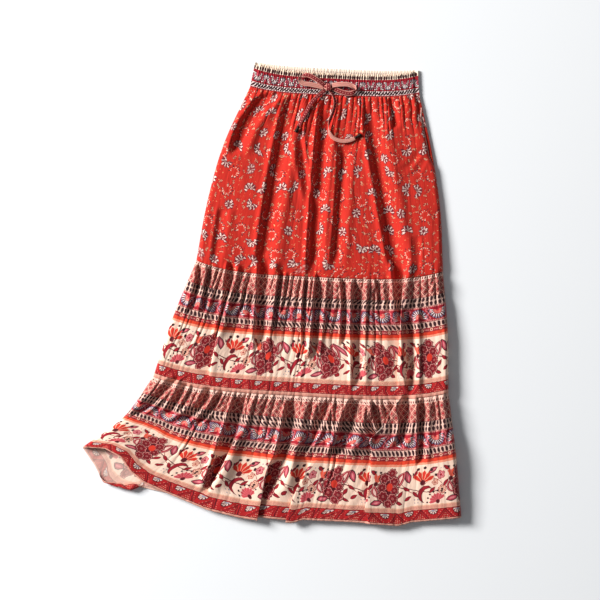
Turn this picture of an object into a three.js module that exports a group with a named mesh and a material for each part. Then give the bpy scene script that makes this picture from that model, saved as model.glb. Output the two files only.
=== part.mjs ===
import * as THREE from 'three';

// A tiered maxi skirt lying on its back on a flat surface, in millimetres. +X runs across the skirt,
// +Y runs up towards the waist and +Z is away from the surface. The back panels lie on the surface,
// and the front panels lie on the back ones and meet them edge to edge at the side seams.

// Driving sizes of the cloth
const WALL = 1.2;
const BAND_WALL = 2;
const SEAM_GAP = 0.3;

// Middle of the laid skirt's outline in the frame of the tables below, brought to X 0 and Y 0 at the end
const OUTLINE_MIDDLE = { x: 0.5, y: 0 };

// Heights above the surface
const SIDE_SEAM_HEIGHT = 5;
const LOWEST_FRONT = 3.6;
const BAND_HEIGHT = 6;

// The lying front is never quite even: two long ripples, and how softly it meets the layer below
const RIPPLES = [
  { height: 0.9, alongX: 23, alongY: 61 },
  { height: 0.7, alongX: 37, alongY: -47 },
];
const FLOOR_SOFTNESS = 2;

// How the walls round over at the side seams
const FRONT_ROUNDING = 14;
const BACK_ROUNDING = 6;
const FRONT_EDGE_ANGLES = [0, 25, 50, 75].map(THREE.MathUtils.degToRad);
const BACK_EDGE_ANGLES = [0, 45, 90].map(THREE.MathUtils.degToRad);

// Side pocket in the right side seam
const POCKET = { topY: 362, bottomY: 238, past: 6, fade: 30, from: 0.82, inset: 7 };
const FACING = { reach: 26, edge: 3.4, low: 1.7, rise: 0.75, wall: 1 };

// Drawstring
const TIE_WIDTH = 7;
const TIE_THICKNESS = 1.4;
const LOOP_TURN = 35;
const TIP = { length: 13, neck: 2.6, mouth: 4.2 };

// Outline of the laid skirt: the two ends of each cross line, and how far its middle sags towards the hem
const SECTIONS = {
  waistTop: { leftX: -31.4, leftY: 446.8, rightX: 281.3, rightY: 432.1, sag: 14 },
  waistTopBack: { leftX: -31.4, leftY: 446.8, rightX: 281.3, rightY: 432.1, sag: 1 },
  waistSeam: { leftX: -41.4, leftY: 398.9, rightX: 283.8, rightY: 386, sag: 11 },
  hip: { leftX: -92.9, leftY: 287.2, rightX: 308.9, rightY: 271.6, sag: 13 },
  thigh: { leftX: -124.6, leftY: 175.3, rightX: 325.1, rightY: 157, sag: 18 },
  yokeSeam: { leftX: -145.2, leftY: 63.5, rightX: 329.9, rightY: 42.5, sag: 22 },
  knee: { leftX: -191.5, leftY: -48.3, rightX: 339.2, rightY: -74.3, sag: 22 },
  middleSeam: { leftX: -228.2, leftY: -159.8, rightX: 340.5, rightY: -191, sag: 22 },
  calf: { leftX: -285.1, leftY: -237.4, rightX: 355.2, rightY: -310.9, sag: 24 },
  hem: { leftX: -364.3, leftY: -295.7, rightX: 365.3, rightY: -430.8, sag: 0 },
};

// Hem edge of the front panel: share of the way across, and where that point of the edge lies
const FRONT_HEM = [
  { share: 0, x: -364.3, y: -295.7 },
  { share: 0.06, x: -320.9, y: -297.8 },
  { share: 0.1, x: -290.9, y: -313.6 },
  { share: 0.13, x: -271.6, y: -342.6 },
  { share: 0.17, x: -246.6, y: -363.8 },
  { share: 0.22, x: -209.9, y: -380.4 },
  { share: 0.33, x: -126.9, y: -415.5 },
  { share: 0.45, x: -36.2, y: -437.6 },
  { share: 0.48, x: -20.6, y: -429.4 },
  { share: 0.56, x: 46.8, y: -441.4 },
  { share: 0.59, x: 60.3, y: -435.2 },
  { share: 0.72, x: 151, y: -439.8 },
  { share: 0.84, x: 243.7, y: -447.5 },
  { share: 0.88, x: 268, y: -440.5 },
  { share: 1, x: 365.3, y: -430.8 },
];

// Hem edge of the back panel, which shows past the front at the left corner and curls up there
const BACK_HEM = [
  { share: 0, x: -364.3, y: -297.6 },
  { share: 0.04, x: -341, y: -332 },
  { share: 0.06, x: -324, y: -366 },
  { share: 0.09, x: -303, y: -379 },
  { share: 0.12, x: -284, y: -384 },
  { share: 0.15, x: -262, y: -371 },
  { share: 0.21, x: -205, y: -384 },
  { share: 0.33, x: -126.9, y: -413 },
  { share: 0.45, x: -36.2, y: -430 },
  { share: 0.59, x: 60.3, y: -433 },
  { share: 0.72, x: 151, y: -437 },
  { share: 0.84, x: 243.7, y: -441 },
  { share: 1, x: 365.3, y: -430.8 },
];

// Largest folds of the front: a trough's line by three points, its half width and its depth.
// The right side of each is the steeper one, and each deepens and dies away over shares of its length.
const TROUGH_SHAPE = { steep: 0.55, deepens: 0.12, diesFrom: 0.8 };
const TROUGHS = [
  { topX: -3, topY: 389, midX: -55, midY: 331, endX: -75, endY: 238, width: 13, depth: 8 },
  { topX: 37, topY: 377, midX: 4, midY: 223, endX: -19, endY: 61, width: 13, depth: 7 },
  { topX: 53, topY: 350, midX: 62, midY: 248, endX: 85, endY: 152, width: 9, depth: 3 },
  { topX: 103, topY: 377, midX: 89, midY: 238, endX: 76, endY: 61, width: 12, depth: 8 },
  { topX: 136, topY: 258, midX: 128, midY: 152, endX: 118, endY: 41, width: 10, depth: 6 },
  { topX: 182, topY: 373, midX: 205, midY: 229, endX: 240, endY: 34, width: 18, depth: 8 },
  { topX: 228, topY: 377, midX: 233, midY: 345, endX: 236, endY: 316, width: 7, depth: 4 },
  { topX: 280, topY: 113, midX: 282, midY: 61, endX: 280, endY: 34, width: 7, depth: 4 },
  { topX: -131, topY: 61, midX: -146, midY: 7, endX: -158, endY: -36, width: 9, depth: 5 },
  { topX: -69, topY: 41, midX: -96, midY: -47, endX: -123, endY: -179, width: 10, depth: 9 },
  { topX: -27, topY: 38, midX: -28, midY: -36, endX: -34, endY: -99, width: 11, depth: 8 },
  { topX: 76, topY: 26, midX: 76, midY: -41, endX: 74, endY: -99, width: 9, depth: 5 },
  { topX: 134, topY: 16, midX: 143, midY: -70, endX: 161, endY: -182, width: 13, depth: 8 },
  { topX: 251, topY: 49, midX: 246, midY: -61, endX: 242, endY: -190, width: 11, depth: 10 },
  { topX: 265, topY: -13, midX: 269, midY: -109, endX: 271, endY: -190, width: 9, depth: 7 },
  { topX: -181, topY: -159, midX: -212, midY: -194, endX: -262, endY: -238, width: 9, depth: 8 },
  { topX: -164, topY: -171, midX: -179, midY: -202, endX: -200, endY: -235, width: 9, depth: 6 },
  { topX: -121, topY: -179, midX: -133, midY: -213, endX: -181, endY: -252, width: 10, depth: 8 },
  { topX: -94, topY: -186, midX: -110, midY: -215, endX: -144, endY: -254, width: 7, depth: 5 },
  { topX: -52, topY: -194, midX: -75, midY: -275, endX: -133, endY: -390, width: 17, depth: 11 },
  { topX: 22, topY: -198, midX: 14, midY: -300, endX: -27, endY: -430, width: 14, depth: 11 },
  { topX: 112, topY: -202, midX: 91, midY: -254, endX: 64, endY: -306, width: 10, depth: 6 },
  { topX: 151, topY: -202, midX: 122, midY: -273, endX: 114, endY: -356, width: 13, depth: 8 },
  { topX: 232, topY: -202, midX: 201, midY: -292, endX: 184, endY: -427, width: 13, depth: 10 },
  { topX: 286, topY: -202, midX: 280, midY: -302, endX: 278, endY: -433, width: 9, depth: 3 },
];

// Broad swells of the front, each a rounded hill
const SWELLS = [
  { x: -299, y: -303, radiusX: 44, radiusY: 50, rise: 9 },
  { x: -60, y: 250, radiusX: 60, radiusY: 120, rise: 2.5 },
  { x: 170, y: 220, radiusX: 40, radiusY: 110, rise: 2 },
  { x: 300, y: 60, radiusX: 40, radiusY: 160, rise: 2 },
  { x: 320, y: -330, radiusX: 50, radiusY: 90, rise: 4 },
  { x: 230, y: -400, radiusX: 30, radiusY: 60, rise: 3 },
];

// Panels from waist to hem: their sections, gathers (count, depth and share of the length that they run),
// general height of the front, and the rows of the front's mesh as shares of the length
const PANELS = {
  upper: {
    sections: ['waistSeam', 'hip', 'thigh', 'yokeSeam'],
    gathers: 26,
    depth: 2.3,
    run: 0.3,
    start: 0.8,
    heights: [7, 10],
    salt: 3,
    rows: [0, 0.05, 0.14, 0.28, 0.46, 0.7, 1],
  },
  middle: {
    sections: ['yokeSeam', 'knee', 'middleSeam'],
    gathers: 36,
    depth: 2.5,
    run: 0.62,
    start: 0.35,
    heights: [10, 12],
    salt: 5,
    rows: [0, 0.09, 0.3, 0.55, 0.8, 1],
  },
  lower: {
    sections: ['middleSeam', 'calf', 'hem'],
    gathers: 38,
    depth: 2.5,
    run: 0.6,
    start: 0.35,
    heights: [12, 13],
    salt: 7,
    rows: [0, 0.09, 0.28, 0.48, 0.68, 0.84, 1],
  },
};
const BAND = { gathers: 42, depth: 1, heading: 0.16, frill: 1.3, casing: 0.9, crown: 1.2, lift: 0.4, salt: 11 };

// Gathers are of uneven depth and length: least value and spread of each, and where along the panel
// they have swollen to full depth, begin to fade, and have faded to the share that is left
const UNEVEN_RUN = { least: 0.6, spread: 0.8 };
const UNEVEN_DEPTH = { least: 0.7, spread: 0.5 };
const FADE = { swollen: 0.07, from: 0.1, longer: 0.25, left: 0.12 };
const BACK_ROWS = [0, 0.25, 0.5, 0.75, 1];
const BACK_COLUMNS = 24;

// A gather is a rounded ridge between two narrow creases: where its mesh columns stand, and their heights
const GATHER_COLUMNS = [
  { share: 0, height: -1 },
  { share: 0.3, height: 1 },
  { share: 0.7, height: 1 },
];
const BAND_COLUMNS = [
  { share: 0, height: -1 },
  { share: 0.5, height: 1 },
];

const mix = THREE.MathUtils.lerp;

// Eases from 0 at one value to 1 at the other, which may be the smaller
function smooth(from, to, x) {
  const t = THREE.MathUtils.clamp((x - from) / (to - from), 0, 1);
  return t * t * (3 - 2 * t);
}

// A repeatable number from 0 to 1 that makes gathers uneven
function uneven(n, salt) {
  const value = Math.sin(n * 12.9898 + salt * 78.233) * 43758.5453;
  return value - Math.floor(value);
}

// A value on the smooth curve through evenly spaced values
function through(values, share) {
  const last = values.length - 1;
  const at = THREE.MathUtils.clamp(share, 0, 1) * last;
  const i = Math.min(Math.floor(at), last - 1);
  const t = at - i;
  const b = values[i];
  const c = values[i + 1];
  const a = i > 0 ? values[i - 1] : 2 * b - c;
  const d = i + 2 <= last ? values[i + 2] : 2 * c - b;
  return b + 0.5 * t * (c - a + t * (2 * a - 5 * b + 4 * c - d + t * (3 * (b - c) + d - a)));
}

// A point on a hem table, between its rows
function hemPoint(table, share) {
  const next = Math.max(1, table.findIndex((row) => row.share >= share - 1e-9));
  const from = table[next - 1];
  const to = table[next];
  const t = (share - from.share) / (to.share - from.share);
  return { x: mix(from.x, to.x, t), y: mix(from.y, to.y, t) };
}

// The two ends and the sag of the cross line at a share of a panel's length
function crossLine(names, down) {
  const take = (key) => through(names.map((name) => SECTIONS[name][key]), down);
  const line = { leftX: take('leftX'), leftY: take('leftY'), rightX: take('rightX'), rightY: take('rightY') };
  line.sag = take('sag');
  line.width = Math.hypot(line.rightX - line.leftX, line.rightY - line.leftY);
  return line;
}

// Where a point of a panel lies, seen from above
function planPoint(names, across, down, hemTable) {
  const line = crossLine(names, down);
  let x = mix(line.leftX, line.rightX, across);
  let y = mix(line.leftY, line.rightY, across) - line.sag * (1 - (2 * across - 1) ** 4);
  if (hemTable) {
    const hem = crossLine(names, 1);
    const edge = hemPoint(hemTable, across);
    x += (edge.x - mix(hem.leftX, hem.rightX, across)) * down ** 2;
    y += (edge.y - mix(hem.leftY, hem.rightY, across)) * down ** 2;
  }
  return { x, y, width: line.width };
}

// How far one trough takes the cloth down at a point
function troughAt(trough, x, y) {
  const down = (trough.topY - y) / (trough.topY - trough.endY);
  if (down <= 0 || down >= 1) return 0;
  const middle = (trough.topY - trough.midY) / (trough.topY - trough.endY);
  const bend = (trough.midX - mix(trough.topX, trough.endX, middle)) / (middle * (1 - middle));
  const centre = mix(trough.topX, trough.endX, down) + bend * down * (1 - down);
  const slope = (trough.endX - trough.topX + bend * (1 - 2 * down)) / (trough.topY - trough.endY);
  const off = (x - centre) / Math.hypot(1, slope);
  const side = off > 0 ? TROUGH_SHAPE.steep : 1;
  const ends = smooth(0, TROUGH_SHAPE.deepens, down) * smooth(1, TROUGH_SHAPE.diesFrom, down);
  return trough.depth * ends * Math.exp(-((off / (trough.width * side)) ** 2));
}

function swellAt(swell, x, y) {
  const away = ((x - swell.x) / swell.radiusX) ** 2 + ((y - swell.y) / swell.radiusY) ** 2;
  return swell.rise * Math.exp(-away);
}

// Height of the front with its largest folds, never lower than it can lie on the back
function frontHeight(general, x, y) {
  const hills = SWELLS.reduce((sum, swell) => sum + swellAt(swell, x, y), 0);
  const valleys = TROUGHS.reduce((sum, trough) => sum + troughAt(trough, x, y), 0);
  const waves = RIPPLES.map(({ height, alongX, alongY }) => height * Math.sin(x / alongX + y / alongY));
  const wave = waves.reduce((sum, height) => sum + height, 0);
  const free = general + hills - valleys + wave - LOWEST_FRONT;
  return LOWEST_FRONT + 0.5 * (free + Math.hypot(free, FLOOR_SOFTNESS));
}

// Shares across a panel at which its gathers begin, unevenly spaced
function gatherStarts(count, salt) {
  const widths = Array.from({ length: count }, (_, i) => 0.7 + 0.6 * uneven(i, salt));
  const total = widths.reduce((sum, width) => sum + width, 0);
  let at = 0;
  return widths.map((width) => {
    const start = { share: at / total, width: width / total };
    at += width;
    return start;
  });
}

// Mesh columns across a gathered panel: rounded edges at both sides and the given columns for each gather
function gatheredColumns(count, salt, each) {
  const columns = FRONT_EDGE_ANGLES.map((angle) => ({ side: -1, angle, gather: 0, height: 0 }));
  gatherStarts(count, salt).forEach((gather, index) => {
    for (const { share, height } of each) {
      columns.push({ side: 0, middle: gather.share + share * gather.width, gather: index, height });
    }
  });
  columns.push({ side: 0, middle: 1, gather: count - 1, height: -1 });
  [...FRONT_EDGE_ANGLES].reverse().forEach((angle) => columns.push({ side: 1, angle, gather: 0, height: 0 }));
  return columns;
}

// Mesh columns across a plain panel
function plainColumns(count) {
  const columns = BACK_EDGE_ANGLES.slice(0, -1).map((angle) => ({ side: -1, angle }));
  for (let i = 0; i <= count; i += 1) columns.push({ side: 0, middle: i / count });
  BACK_EDGE_ANGLES.slice(0, -1).reverse().forEach((angle) => columns.push({ side: 1, angle }));
  return columns;
}

// A column's share across the panel, and how far it has rounded over from the side seam (0) to the panel (1)
function columnPlace(column, rounding, width) {
  const round = rounding / width;
  if (column.side === 0) return { across: round + column.middle * (1 - 2 * round), rounded: 1 };
  const reach = round * (1 - Math.cos(column.angle));
  return { across: column.side < 0 ? reach : 1 - reach, rounded: Math.sin(column.angle) };
}

// Depth of one gather at a share of its panel's length: it swells below the seam and then dies away
function gatherDepth(panel, gather, down) {
  const run = panel.run * (UNEVEN_RUN.least + UNEVEN_RUN.spread * uneven(gather, panel.salt + 1));
  const depth = panel.depth * (UNEVEN_DEPTH.least + UNEVEN_DEPTH.spread * uneven(gather, panel.salt + 2));
  const swell = mix(panel.start, 1, smooth(0, FADE.swollen, down));
  const fade = mix(1, FADE.left, smooth(FADE.from, run + FADE.longer, down));
  return depth * swell * fade;
}

// The mouth of the side pocket takes the front's right edge inwards
function pocketInset(across, y) {
  const { topY, bottomY, fade, from, inset } = POCKET;
  const mouth = smooth(bottomY, bottomY + fade, y) * smooth(topY, topY - fade, y);
  return inset * mouth * smooth(from, 1, across);
}

// A middle surface point of a front panel
function frontPoint(panel, column, down, hemTable) {
  const width = crossLine(panel.sections, down).width;
  const { across, rounded } = columnPlace(column, FRONT_ROUNDING, width);
  const place = planPoint(panel.sections, across, down, hemTable);
  const body = frontHeight(mix(panel.heights[0], panel.heights[1], down), place.x, place.y);
  const gather = column.height * gatherDepth(panel, column.gather, down);
  const x = place.x - pocketInset(across, place.y);
  const z = Math.max(LOWEST_FRONT, body + gather);
  return new THREE.Vector3(x, place.y, mix(SIDE_SEAM_HEIGHT, z, rounded));
}

// A middle surface point of a back panel, flat on the surface and rounding up to the side seam
function backPoint(names, column, down, hemTable, wall) {
  const width = crossLine(names, down).width;
  const { across, rounded } = columnPlace(column, BACK_ROUNDING, width);
  const place = planPoint(names, across, down, hemTable);
  const top = SIDE_SEAM_HEIGHT - SEAM_GAP;
  return new THREE.Vector3(place.x, place.y, mix(top, wall / 2, rounded));
}

// A middle surface point of the front waistband: fine gathers over its whole height, tightest at the casing
function bandPoint(column, down) {
  const names = ['waistTop', 'waistSeam'];
  const width = crossLine(names, down).width;
  const { across, rounded } = columnPlace(column, FRONT_ROUNDING, width);
  const place = planPoint(names, across, down);
  const gather = column.height * BAND.depth * (down < BAND.heading ? BAND.frill : BAND.casing);
  const z = BAND_HEIGHT + BAND.crown * Math.sin(Math.PI * across) + gather;
  return new THREE.Vector3(place.x, place.y, mix(SIDE_SEAM_HEIGHT + BAND.lift, z, rounded));
}

function bufferGeometry(points, faces) {
  const geometry = new THREE.BufferGeometry();
  geometry.setAttribute('position', new THREE.Float32BufferAttribute(points.flatMap((point) => [...point]), 3));
  geometry.setIndex(faces.flat());
  geometry.computeVertexNormals();
  return geometry;
}

// Two triangles for a four-sided face given anticlockwise from outside
const quad = (a, b, c, d) => [[a, b, c], [a, c, d]];

// A closed cloth wall round a grid of middle surface points, given row by row from the waist down.
// At its side edges the wall stands upright, rising inwards on a front (1) or falling on a back (-1),
// and at its two ends it is cut square to the surface, so that neighbours meet face to face.
function clothWall(grid, wall, rise) {
  const rows = grid.length;
  const columns = grid[0].length;
  const count = rows * columns;
  const within = (i, size) => THREE.MathUtils.clamp(i, 0, size - 1);
  const at = (row, column) => grid[within(row, rows)][within(column, columns)];
  const upper = [];
  const under = [];
  for (let row = 0; row < rows; row += 1) {
    for (let column = 0; column < columns; column += 1) {
      const acrossStep = at(row, column + 1).clone().sub(at(row, column - 1));
      const downStep = at(row + 1, column).clone().sub(at(row - 1, column));
      if (row === 0 || row === rows - 1) downStep.set(acrossStep.y, -acrossStep.x, 0);
      if (rise && column === 0) acrossStep.set(0, 0, rise);
      if (rise && column === columns - 1) acrossStep.set(0, 0, -rise);
      const normal = downStep.cross(acrossStep).normalize().multiplyScalar(wall / 2);
      upper.push(at(row, column).clone().add(normal));
      under.push(at(row, column).clone().sub(normal));
    }
  }
  const index = (row, column) => row * columns + column;
  const faces = [];
  for (let row = 0; row + 1 < rows; row += 1) {
    for (let column = 0; column + 1 < columns; column += 1) {
      const [a, b] = [index(row, column), index(row, column + 1)];
      const [c, d] = [index(row + 1, column + 1), index(row + 1, column)];
      faces.push(...quad(a, d, c, b), ...quad(count + a, count + b, count + c, count + d));
    }
    const [left, leftNext] = [index(row, 0), index(row + 1, 0)];
    const [right, rightNext] = [index(row, columns - 1), index(row + 1, columns - 1)];
    faces.push(...quad(left, count + left, count + leftNext, leftNext));
    faces.push(...quad(right, rightNext, count + rightNext, count + right));
  }
  for (let column = 0; column + 1 < columns; column += 1) {
    const [top, topNext] = [index(0, column), index(0, column + 1)];
    const [end, endNext] = [index(rows - 1, column), index(rows - 1, column + 1)];
    faces.push(...quad(top, topNext, count + topNext, count + top));
    faces.push(...quad(end, count + end, count + endNext, endNext));
  }
  return bufferGeometry([...upper, ...under], faces);
}

// Middle surface points by rows and columns. A lower panel starts one seam gap below the panel above it.
function gridOf(rows, columns, point, below) {
  const seamed = (column, down) => {
    const place = point(column, down);
    place.y -= below ? SEAM_GAP * (1 - down) : 0;
    return place;
  };
  return rows.map((down) => columns.map((column) => seamed(column, down)));
}

// A flat tie along a route: its eight-sided section, turned about the route, is swept along it
const TIE_SECTION = [
  { across: -0.5, thick: -0.2 },
  { across: -0.42, thick: -0.5 },
  { across: 0.42, thick: -0.5 },
  { across: 0.5, thick: -0.2 },
  { across: 0.5, thick: 0.2 },
  { across: 0.42, thick: 0.5 },
  { across: -0.42, thick: 0.5 },
  { across: -0.5, thick: 0.2 },
];
function tieSolid(route, steps, turn) {
  const corners = TIE_SECTION.map(({ across, thick }) => {
    const corner = new THREE.Vector2(thick * TIE_THICKNESS, across * TIE_WIDTH);
    return corner.rotateAround(new THREE.Vector2(), THREE.MathUtils.degToRad(turn));
  });
  return new THREE.ExtrudeGeometry(new THREE.Shape(corners), { steps, extrudePath: curve(route) });
}

function curve(route) {
  const points = route.map(({ x, y, z }) => new THREE.Vector3(x, y, z));
  return new THREE.CatmullRomCurve3(points, false, 'centripetal');
}

// Routes of the bow, chosen by hand, from the knot outwards
const KNOT = { x: 108.5, y: 397, z: 14, radiusX: 8.5, radiusY: 7.5, radiusZ: 5 };
const LEFT_LOOP = [
  { x: 100.9, y: 400.2, z: 15.6 },
  { x: 88, y: 410, z: 18 },
  { x: 68, y: 420, z: 17.5 },
  { x: 54.5, y: 415.5, z: 15.6 },
  { x: 58, y: 405.5, z: 14.2 },
  { x: 76, y: 402, z: 13.6 },
  { x: 100.2, y: 396.8, z: 12.6 },
];
const RIGHT_LOOP = [
  { x: 116.4, y: 400, z: 15.4 },
  { x: 130, y: 402, z: 16.8 },
  { x: 150, y: 401, z: 16.5 },
  { x: 162, y: 392.5, z: 15.4 },
  { x: 152, y: 384.5, z: 14.4 },
  { x: 134, y: 388, z: 13.8 },
  { x: 117.5, y: 395.2, z: 12.8 },
];
const LEFT_TAIL = [
  { x: 102.9, y: 391.5, z: 11.2 },
  { x: 92, y: 382.5, z: 12.6 },
  { x: 76, y: 366, z: 14.4 },
  { x: 66, y: 348, z: 15.4 },
  { x: 56, y: 331, z: 15.8 },
  { x: 52, y: 322, z: 15.8 },
];
const RIGHT_TAIL = [
  { x: 112.4, y: 390.4, z: 11.2 },
  { x: 119, y: 380, z: 12.8 },
  { x: 122, y: 366, z: 14.2 },
  { x: 118, y: 348, z: 15 },
  { x: 111, y: 330, z: 15.4 },
  { x: 110, y: 312, z: 15.4 },
  { x: 119, y: 299, z: 15.4 },
  { x: 136, y: 293, z: 15.4 },
  { x: 152, y: 295, z: 15.4 },
  { x: 160, y: 299, z: 15.4 },
];

// The knot is a closed lump, wider than high
function knotSolid() {
  const levels = [-1, -0.8, -0.35, 0.35, 0.8, 1];
  const profile = levels.map((level) => new THREE.Vector2(Math.sqrt(1 - level ** 2), level));
  const geometry = new THREE.LatheGeometry(profile, 12);
  geometry.scale(KNOT.radiusX, KNOT.radiusY, KNOT.radiusZ);
  return geometry;
}

// A bell-shaped end of the drawstring, open end outwards, standing on the end of a tail
function tipSolid() {
  const { length, neck, mouth } = TIP;
  const profile = [
    { radius: 0, along: 0 },
    { radius: neck, along: 0 },
    { radius: neck + 0.4, along: 1.5 },
    { radius: neck, along: 3 },
    { radius: mouth - 0.4, along: length - 2.5 },
    { radius: mouth, along: length - 1 },
    { radius: mouth - 0.6, along: length },
    { radius: 0, along: length },
  ];
  return new THREE.LatheGeometry(profile.map(({ radius, along }) => new THREE.Vector2(radius, along)), 14);
}

const materialOf = (values) => new THREE.MeshStandardMaterial(values);
const RED_PRINT = materialOf({ color: 0xd0281a, roughness: 0.85, metalness: 0 });
const BORDER_PRINT = materialOf({ color: 0xb5584a, roughness: 0.85, metalness: 0 });
const BAND_PRINT = materialOf({ color: 0x8c4a50, roughness: 0.85, metalness: 0 });
const TIE_CLOTH = materialOf({ color: 0xa8564f, roughness: 0.8, metalness: 0 });
const DARK_METAL = materialOf({ color: 0x2b211f, roughness: 0.4, metalness: 0.7 });

const skirt = new THREE.Group();

function addMesh(name, geometry, material) {
  const mesh = new THREE.Mesh(geometry, material);
  mesh.name = name;
  skirt.add(mesh);
  return mesh;
}

function addPanels() {
  const materials = { upper: RED_PRINT, middle: BORDER_PRINT, lower: BORDER_PRINT };
  for (const [name, panel] of Object.entries(PANELS)) {
    const hems = name === 'lower' ? [FRONT_HEM, BACK_HEM] : [];
    const columns = gatheredColumns(panel.gathers, panel.salt, GATHER_COLUMNS);
    const draped = (column, down) => frontPoint(panel, column, down, hems[0]);
    const front = gridOf(panel.rows, columns, draped, true);
    addMesh(`${name}_front`, clothWall(front, WALL, 1), materials[name]);
    const laid = (column, down) => backPoint(panel.sections, column, down, hems[1], WALL);
    const back = gridOf(BACK_ROWS, plainColumns(BACK_COLUMNS), laid, true);
    addMesh(`${name}_back`, clothWall(back, WALL, -1), materials[name]);
  }
}

function addWaistband() {
  const columns = gatheredColumns(BAND.gathers, BAND.salt, BAND_COLUMNS);
  const front = gridOf([0, BAND.heading, 0.5, 1], columns, bandPoint, false);
  addMesh('waistband_front', clothWall(front, BAND_WALL, 1), BAND_PRINT);
  const laid = (column, down) => backPoint(['waistTopBack', 'waistSeam'], column, down, null, BAND_WALL);
  const back = gridOf([0, 0.5, 1], plainColumns(BACK_COLUMNS), laid, false);
  addMesh('waistband_back', clothWall(back, BAND_WALL, -1), BAND_PRINT);
}

// The strip of the side pocket that shows in its mouth, between the front and the back
function addPocket() {
  const rows = [0, 0.2, 0.4, 0.6, 0.8, 1];
  const columns = [1, 0.6, 0.3, 0];
  const { topY, bottomY, past } = POCKET;
  const { reach, edge, low, rise, wall } = FACING;
  const names = PANELS.upper.sections;
  const grid = rows.map((down) => {
    const y = mix(topY - past, bottomY + past, down);
    const share = (SECTIONS.waistSeam.rightY - y) / (SECTIONS.waistSeam.rightY - SECTIONS.yokeSeam.rightY);
    const outline = crossLine(names, share).rightX;
    const point = (inner) => [outline - mix(edge, reach, inner), y, low + wall / 2 + rise * (1 - inner)];
    return columns.map((inner) => new THREE.Vector3(...point(inner)));
  });
  addMesh('pocket_facing', clothWall(grid, wall, 0), RED_PRINT);
}

function addTip(name, path) {
  const ahead = path.getTangentAt(1);
  const tip = addMesh(name, tipSolid(), DARK_METAL);
  tip.position.copy(path.getPointAt(1).addScaledVector(ahead, SEAM_GAP));
  tip.quaternion.setFromUnitVectors(new THREE.Vector3(0, 1, 0), ahead);
}

function addDrawstring() {
  const knot = addMesh('tie_knot', knotSolid(), TIE_CLOTH);
  knot.position.set(KNOT.x, KNOT.y, KNOT.z);
  addMesh('tie_loop_left', tieSolid(LEFT_LOOP, 20, -LOOP_TURN), TIE_CLOTH);
  addMesh('tie_loop_right', tieSolid(RIGHT_LOOP, 20, LOOP_TURN), TIE_CLOTH);
  addMesh('tie_tail_left', tieSolid(LEFT_TAIL, 10, 0), TIE_CLOTH);
  addMesh('tie_tail_right', tieSolid(RIGHT_TAIL, 16, 0), TIE_CLOTH);
  addTip('tie_tip_left', curve(LEFT_TAIL));
  addTip('tie_tip_right', curve(RIGHT_TAIL));
}

addPanels();
addWaistband();
addPocket();
addDrawstring();
skirt.position.set(-OUTLINE_MIDDLE.x, -OUTLINE_MIDDLE.y, 0);

export default skirt;
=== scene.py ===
# %% [markdown]
# # A tiered maxi skirt, laid out flat
# The real skirt is three tiers of thin crinkled cloth, each gathered to the one above it, under an
# elastic waistband with a tied drawstring. It lies on its back on a pale floor. The imported model holds
# the plain pieces and their sizes. This script dresses each of them with fine cloth, print and thread,
# in the same place. It starts with the model.

# %% Load the model
import math
import bmesh
import bpy
import numpy as np
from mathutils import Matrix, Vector


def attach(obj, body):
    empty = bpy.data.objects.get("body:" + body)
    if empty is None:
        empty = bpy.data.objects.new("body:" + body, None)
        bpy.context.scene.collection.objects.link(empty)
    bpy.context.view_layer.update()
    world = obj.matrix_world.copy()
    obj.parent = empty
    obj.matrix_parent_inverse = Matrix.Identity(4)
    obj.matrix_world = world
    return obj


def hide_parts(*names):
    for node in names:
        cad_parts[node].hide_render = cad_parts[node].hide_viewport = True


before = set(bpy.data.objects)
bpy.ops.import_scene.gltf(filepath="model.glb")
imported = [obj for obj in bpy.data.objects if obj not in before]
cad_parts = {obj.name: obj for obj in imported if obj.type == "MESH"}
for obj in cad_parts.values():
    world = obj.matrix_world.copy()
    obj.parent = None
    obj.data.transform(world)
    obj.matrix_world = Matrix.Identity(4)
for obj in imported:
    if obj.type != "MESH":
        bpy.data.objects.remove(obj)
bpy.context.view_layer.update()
MM = 0.001

# %% [markdown]
# # The camera
# The skirt is seen from straight above. A long lens from four metres up keeps the outline free of
# perspective, as a studio camera on a boom would. The view is 1158 mm wide.

# %% Camera
VIEW_WIDTH = 1.158
VIEW_CENTRE = (0.054, -0.0125)
CAMERA_HEIGHT = 4.0
SENSOR = 36.0
FARTHEST = 50


def add_object(name, data):
    thing = bpy.data.objects.new(name, data)
    bpy.context.collection.objects.link(thing)
    return thing


def make_camera():
    data = bpy.data.cameras.new("overhead")
    data.sensor_width = SENSOR
    data.lens = SENSOR * CAMERA_HEIGHT / VIEW_WIDTH
    data.clip_end = FARTHEST
    camera = add_object("overhead", data)
    camera.location = (*VIEW_CENTRE, CAMERA_HEIGHT)
    bpy.context.scene.camera = camera
    return camera


camera = make_camera()
print("lens in mm:", round(camera.data.lens, 1))

# %% [markdown]
# # The drawstring's route
# The tie is a flat stitched tape, seven millimetres wide. It comes out of a knot at the middle of the
# waist, makes two loops and ends in two tails. It is limp, so it lies on the cloth all the way. Its
# route is a short list of points in millimetres, from the knot outwards, and a smooth curve through
# them. The cords come first, because their length decides whether they fit in the picture.

# %% Routes of the bow
OUTLINE_MIDDLE = 0.5
TIE_WIDTH = 7.0
LOOP_WIDTH = 9.0
TIE_THICKNESS = 1.4
KNOT = (108.5, 397, 14)
KNOT_SIZE = (8.5, 7.5, 5)
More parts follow.
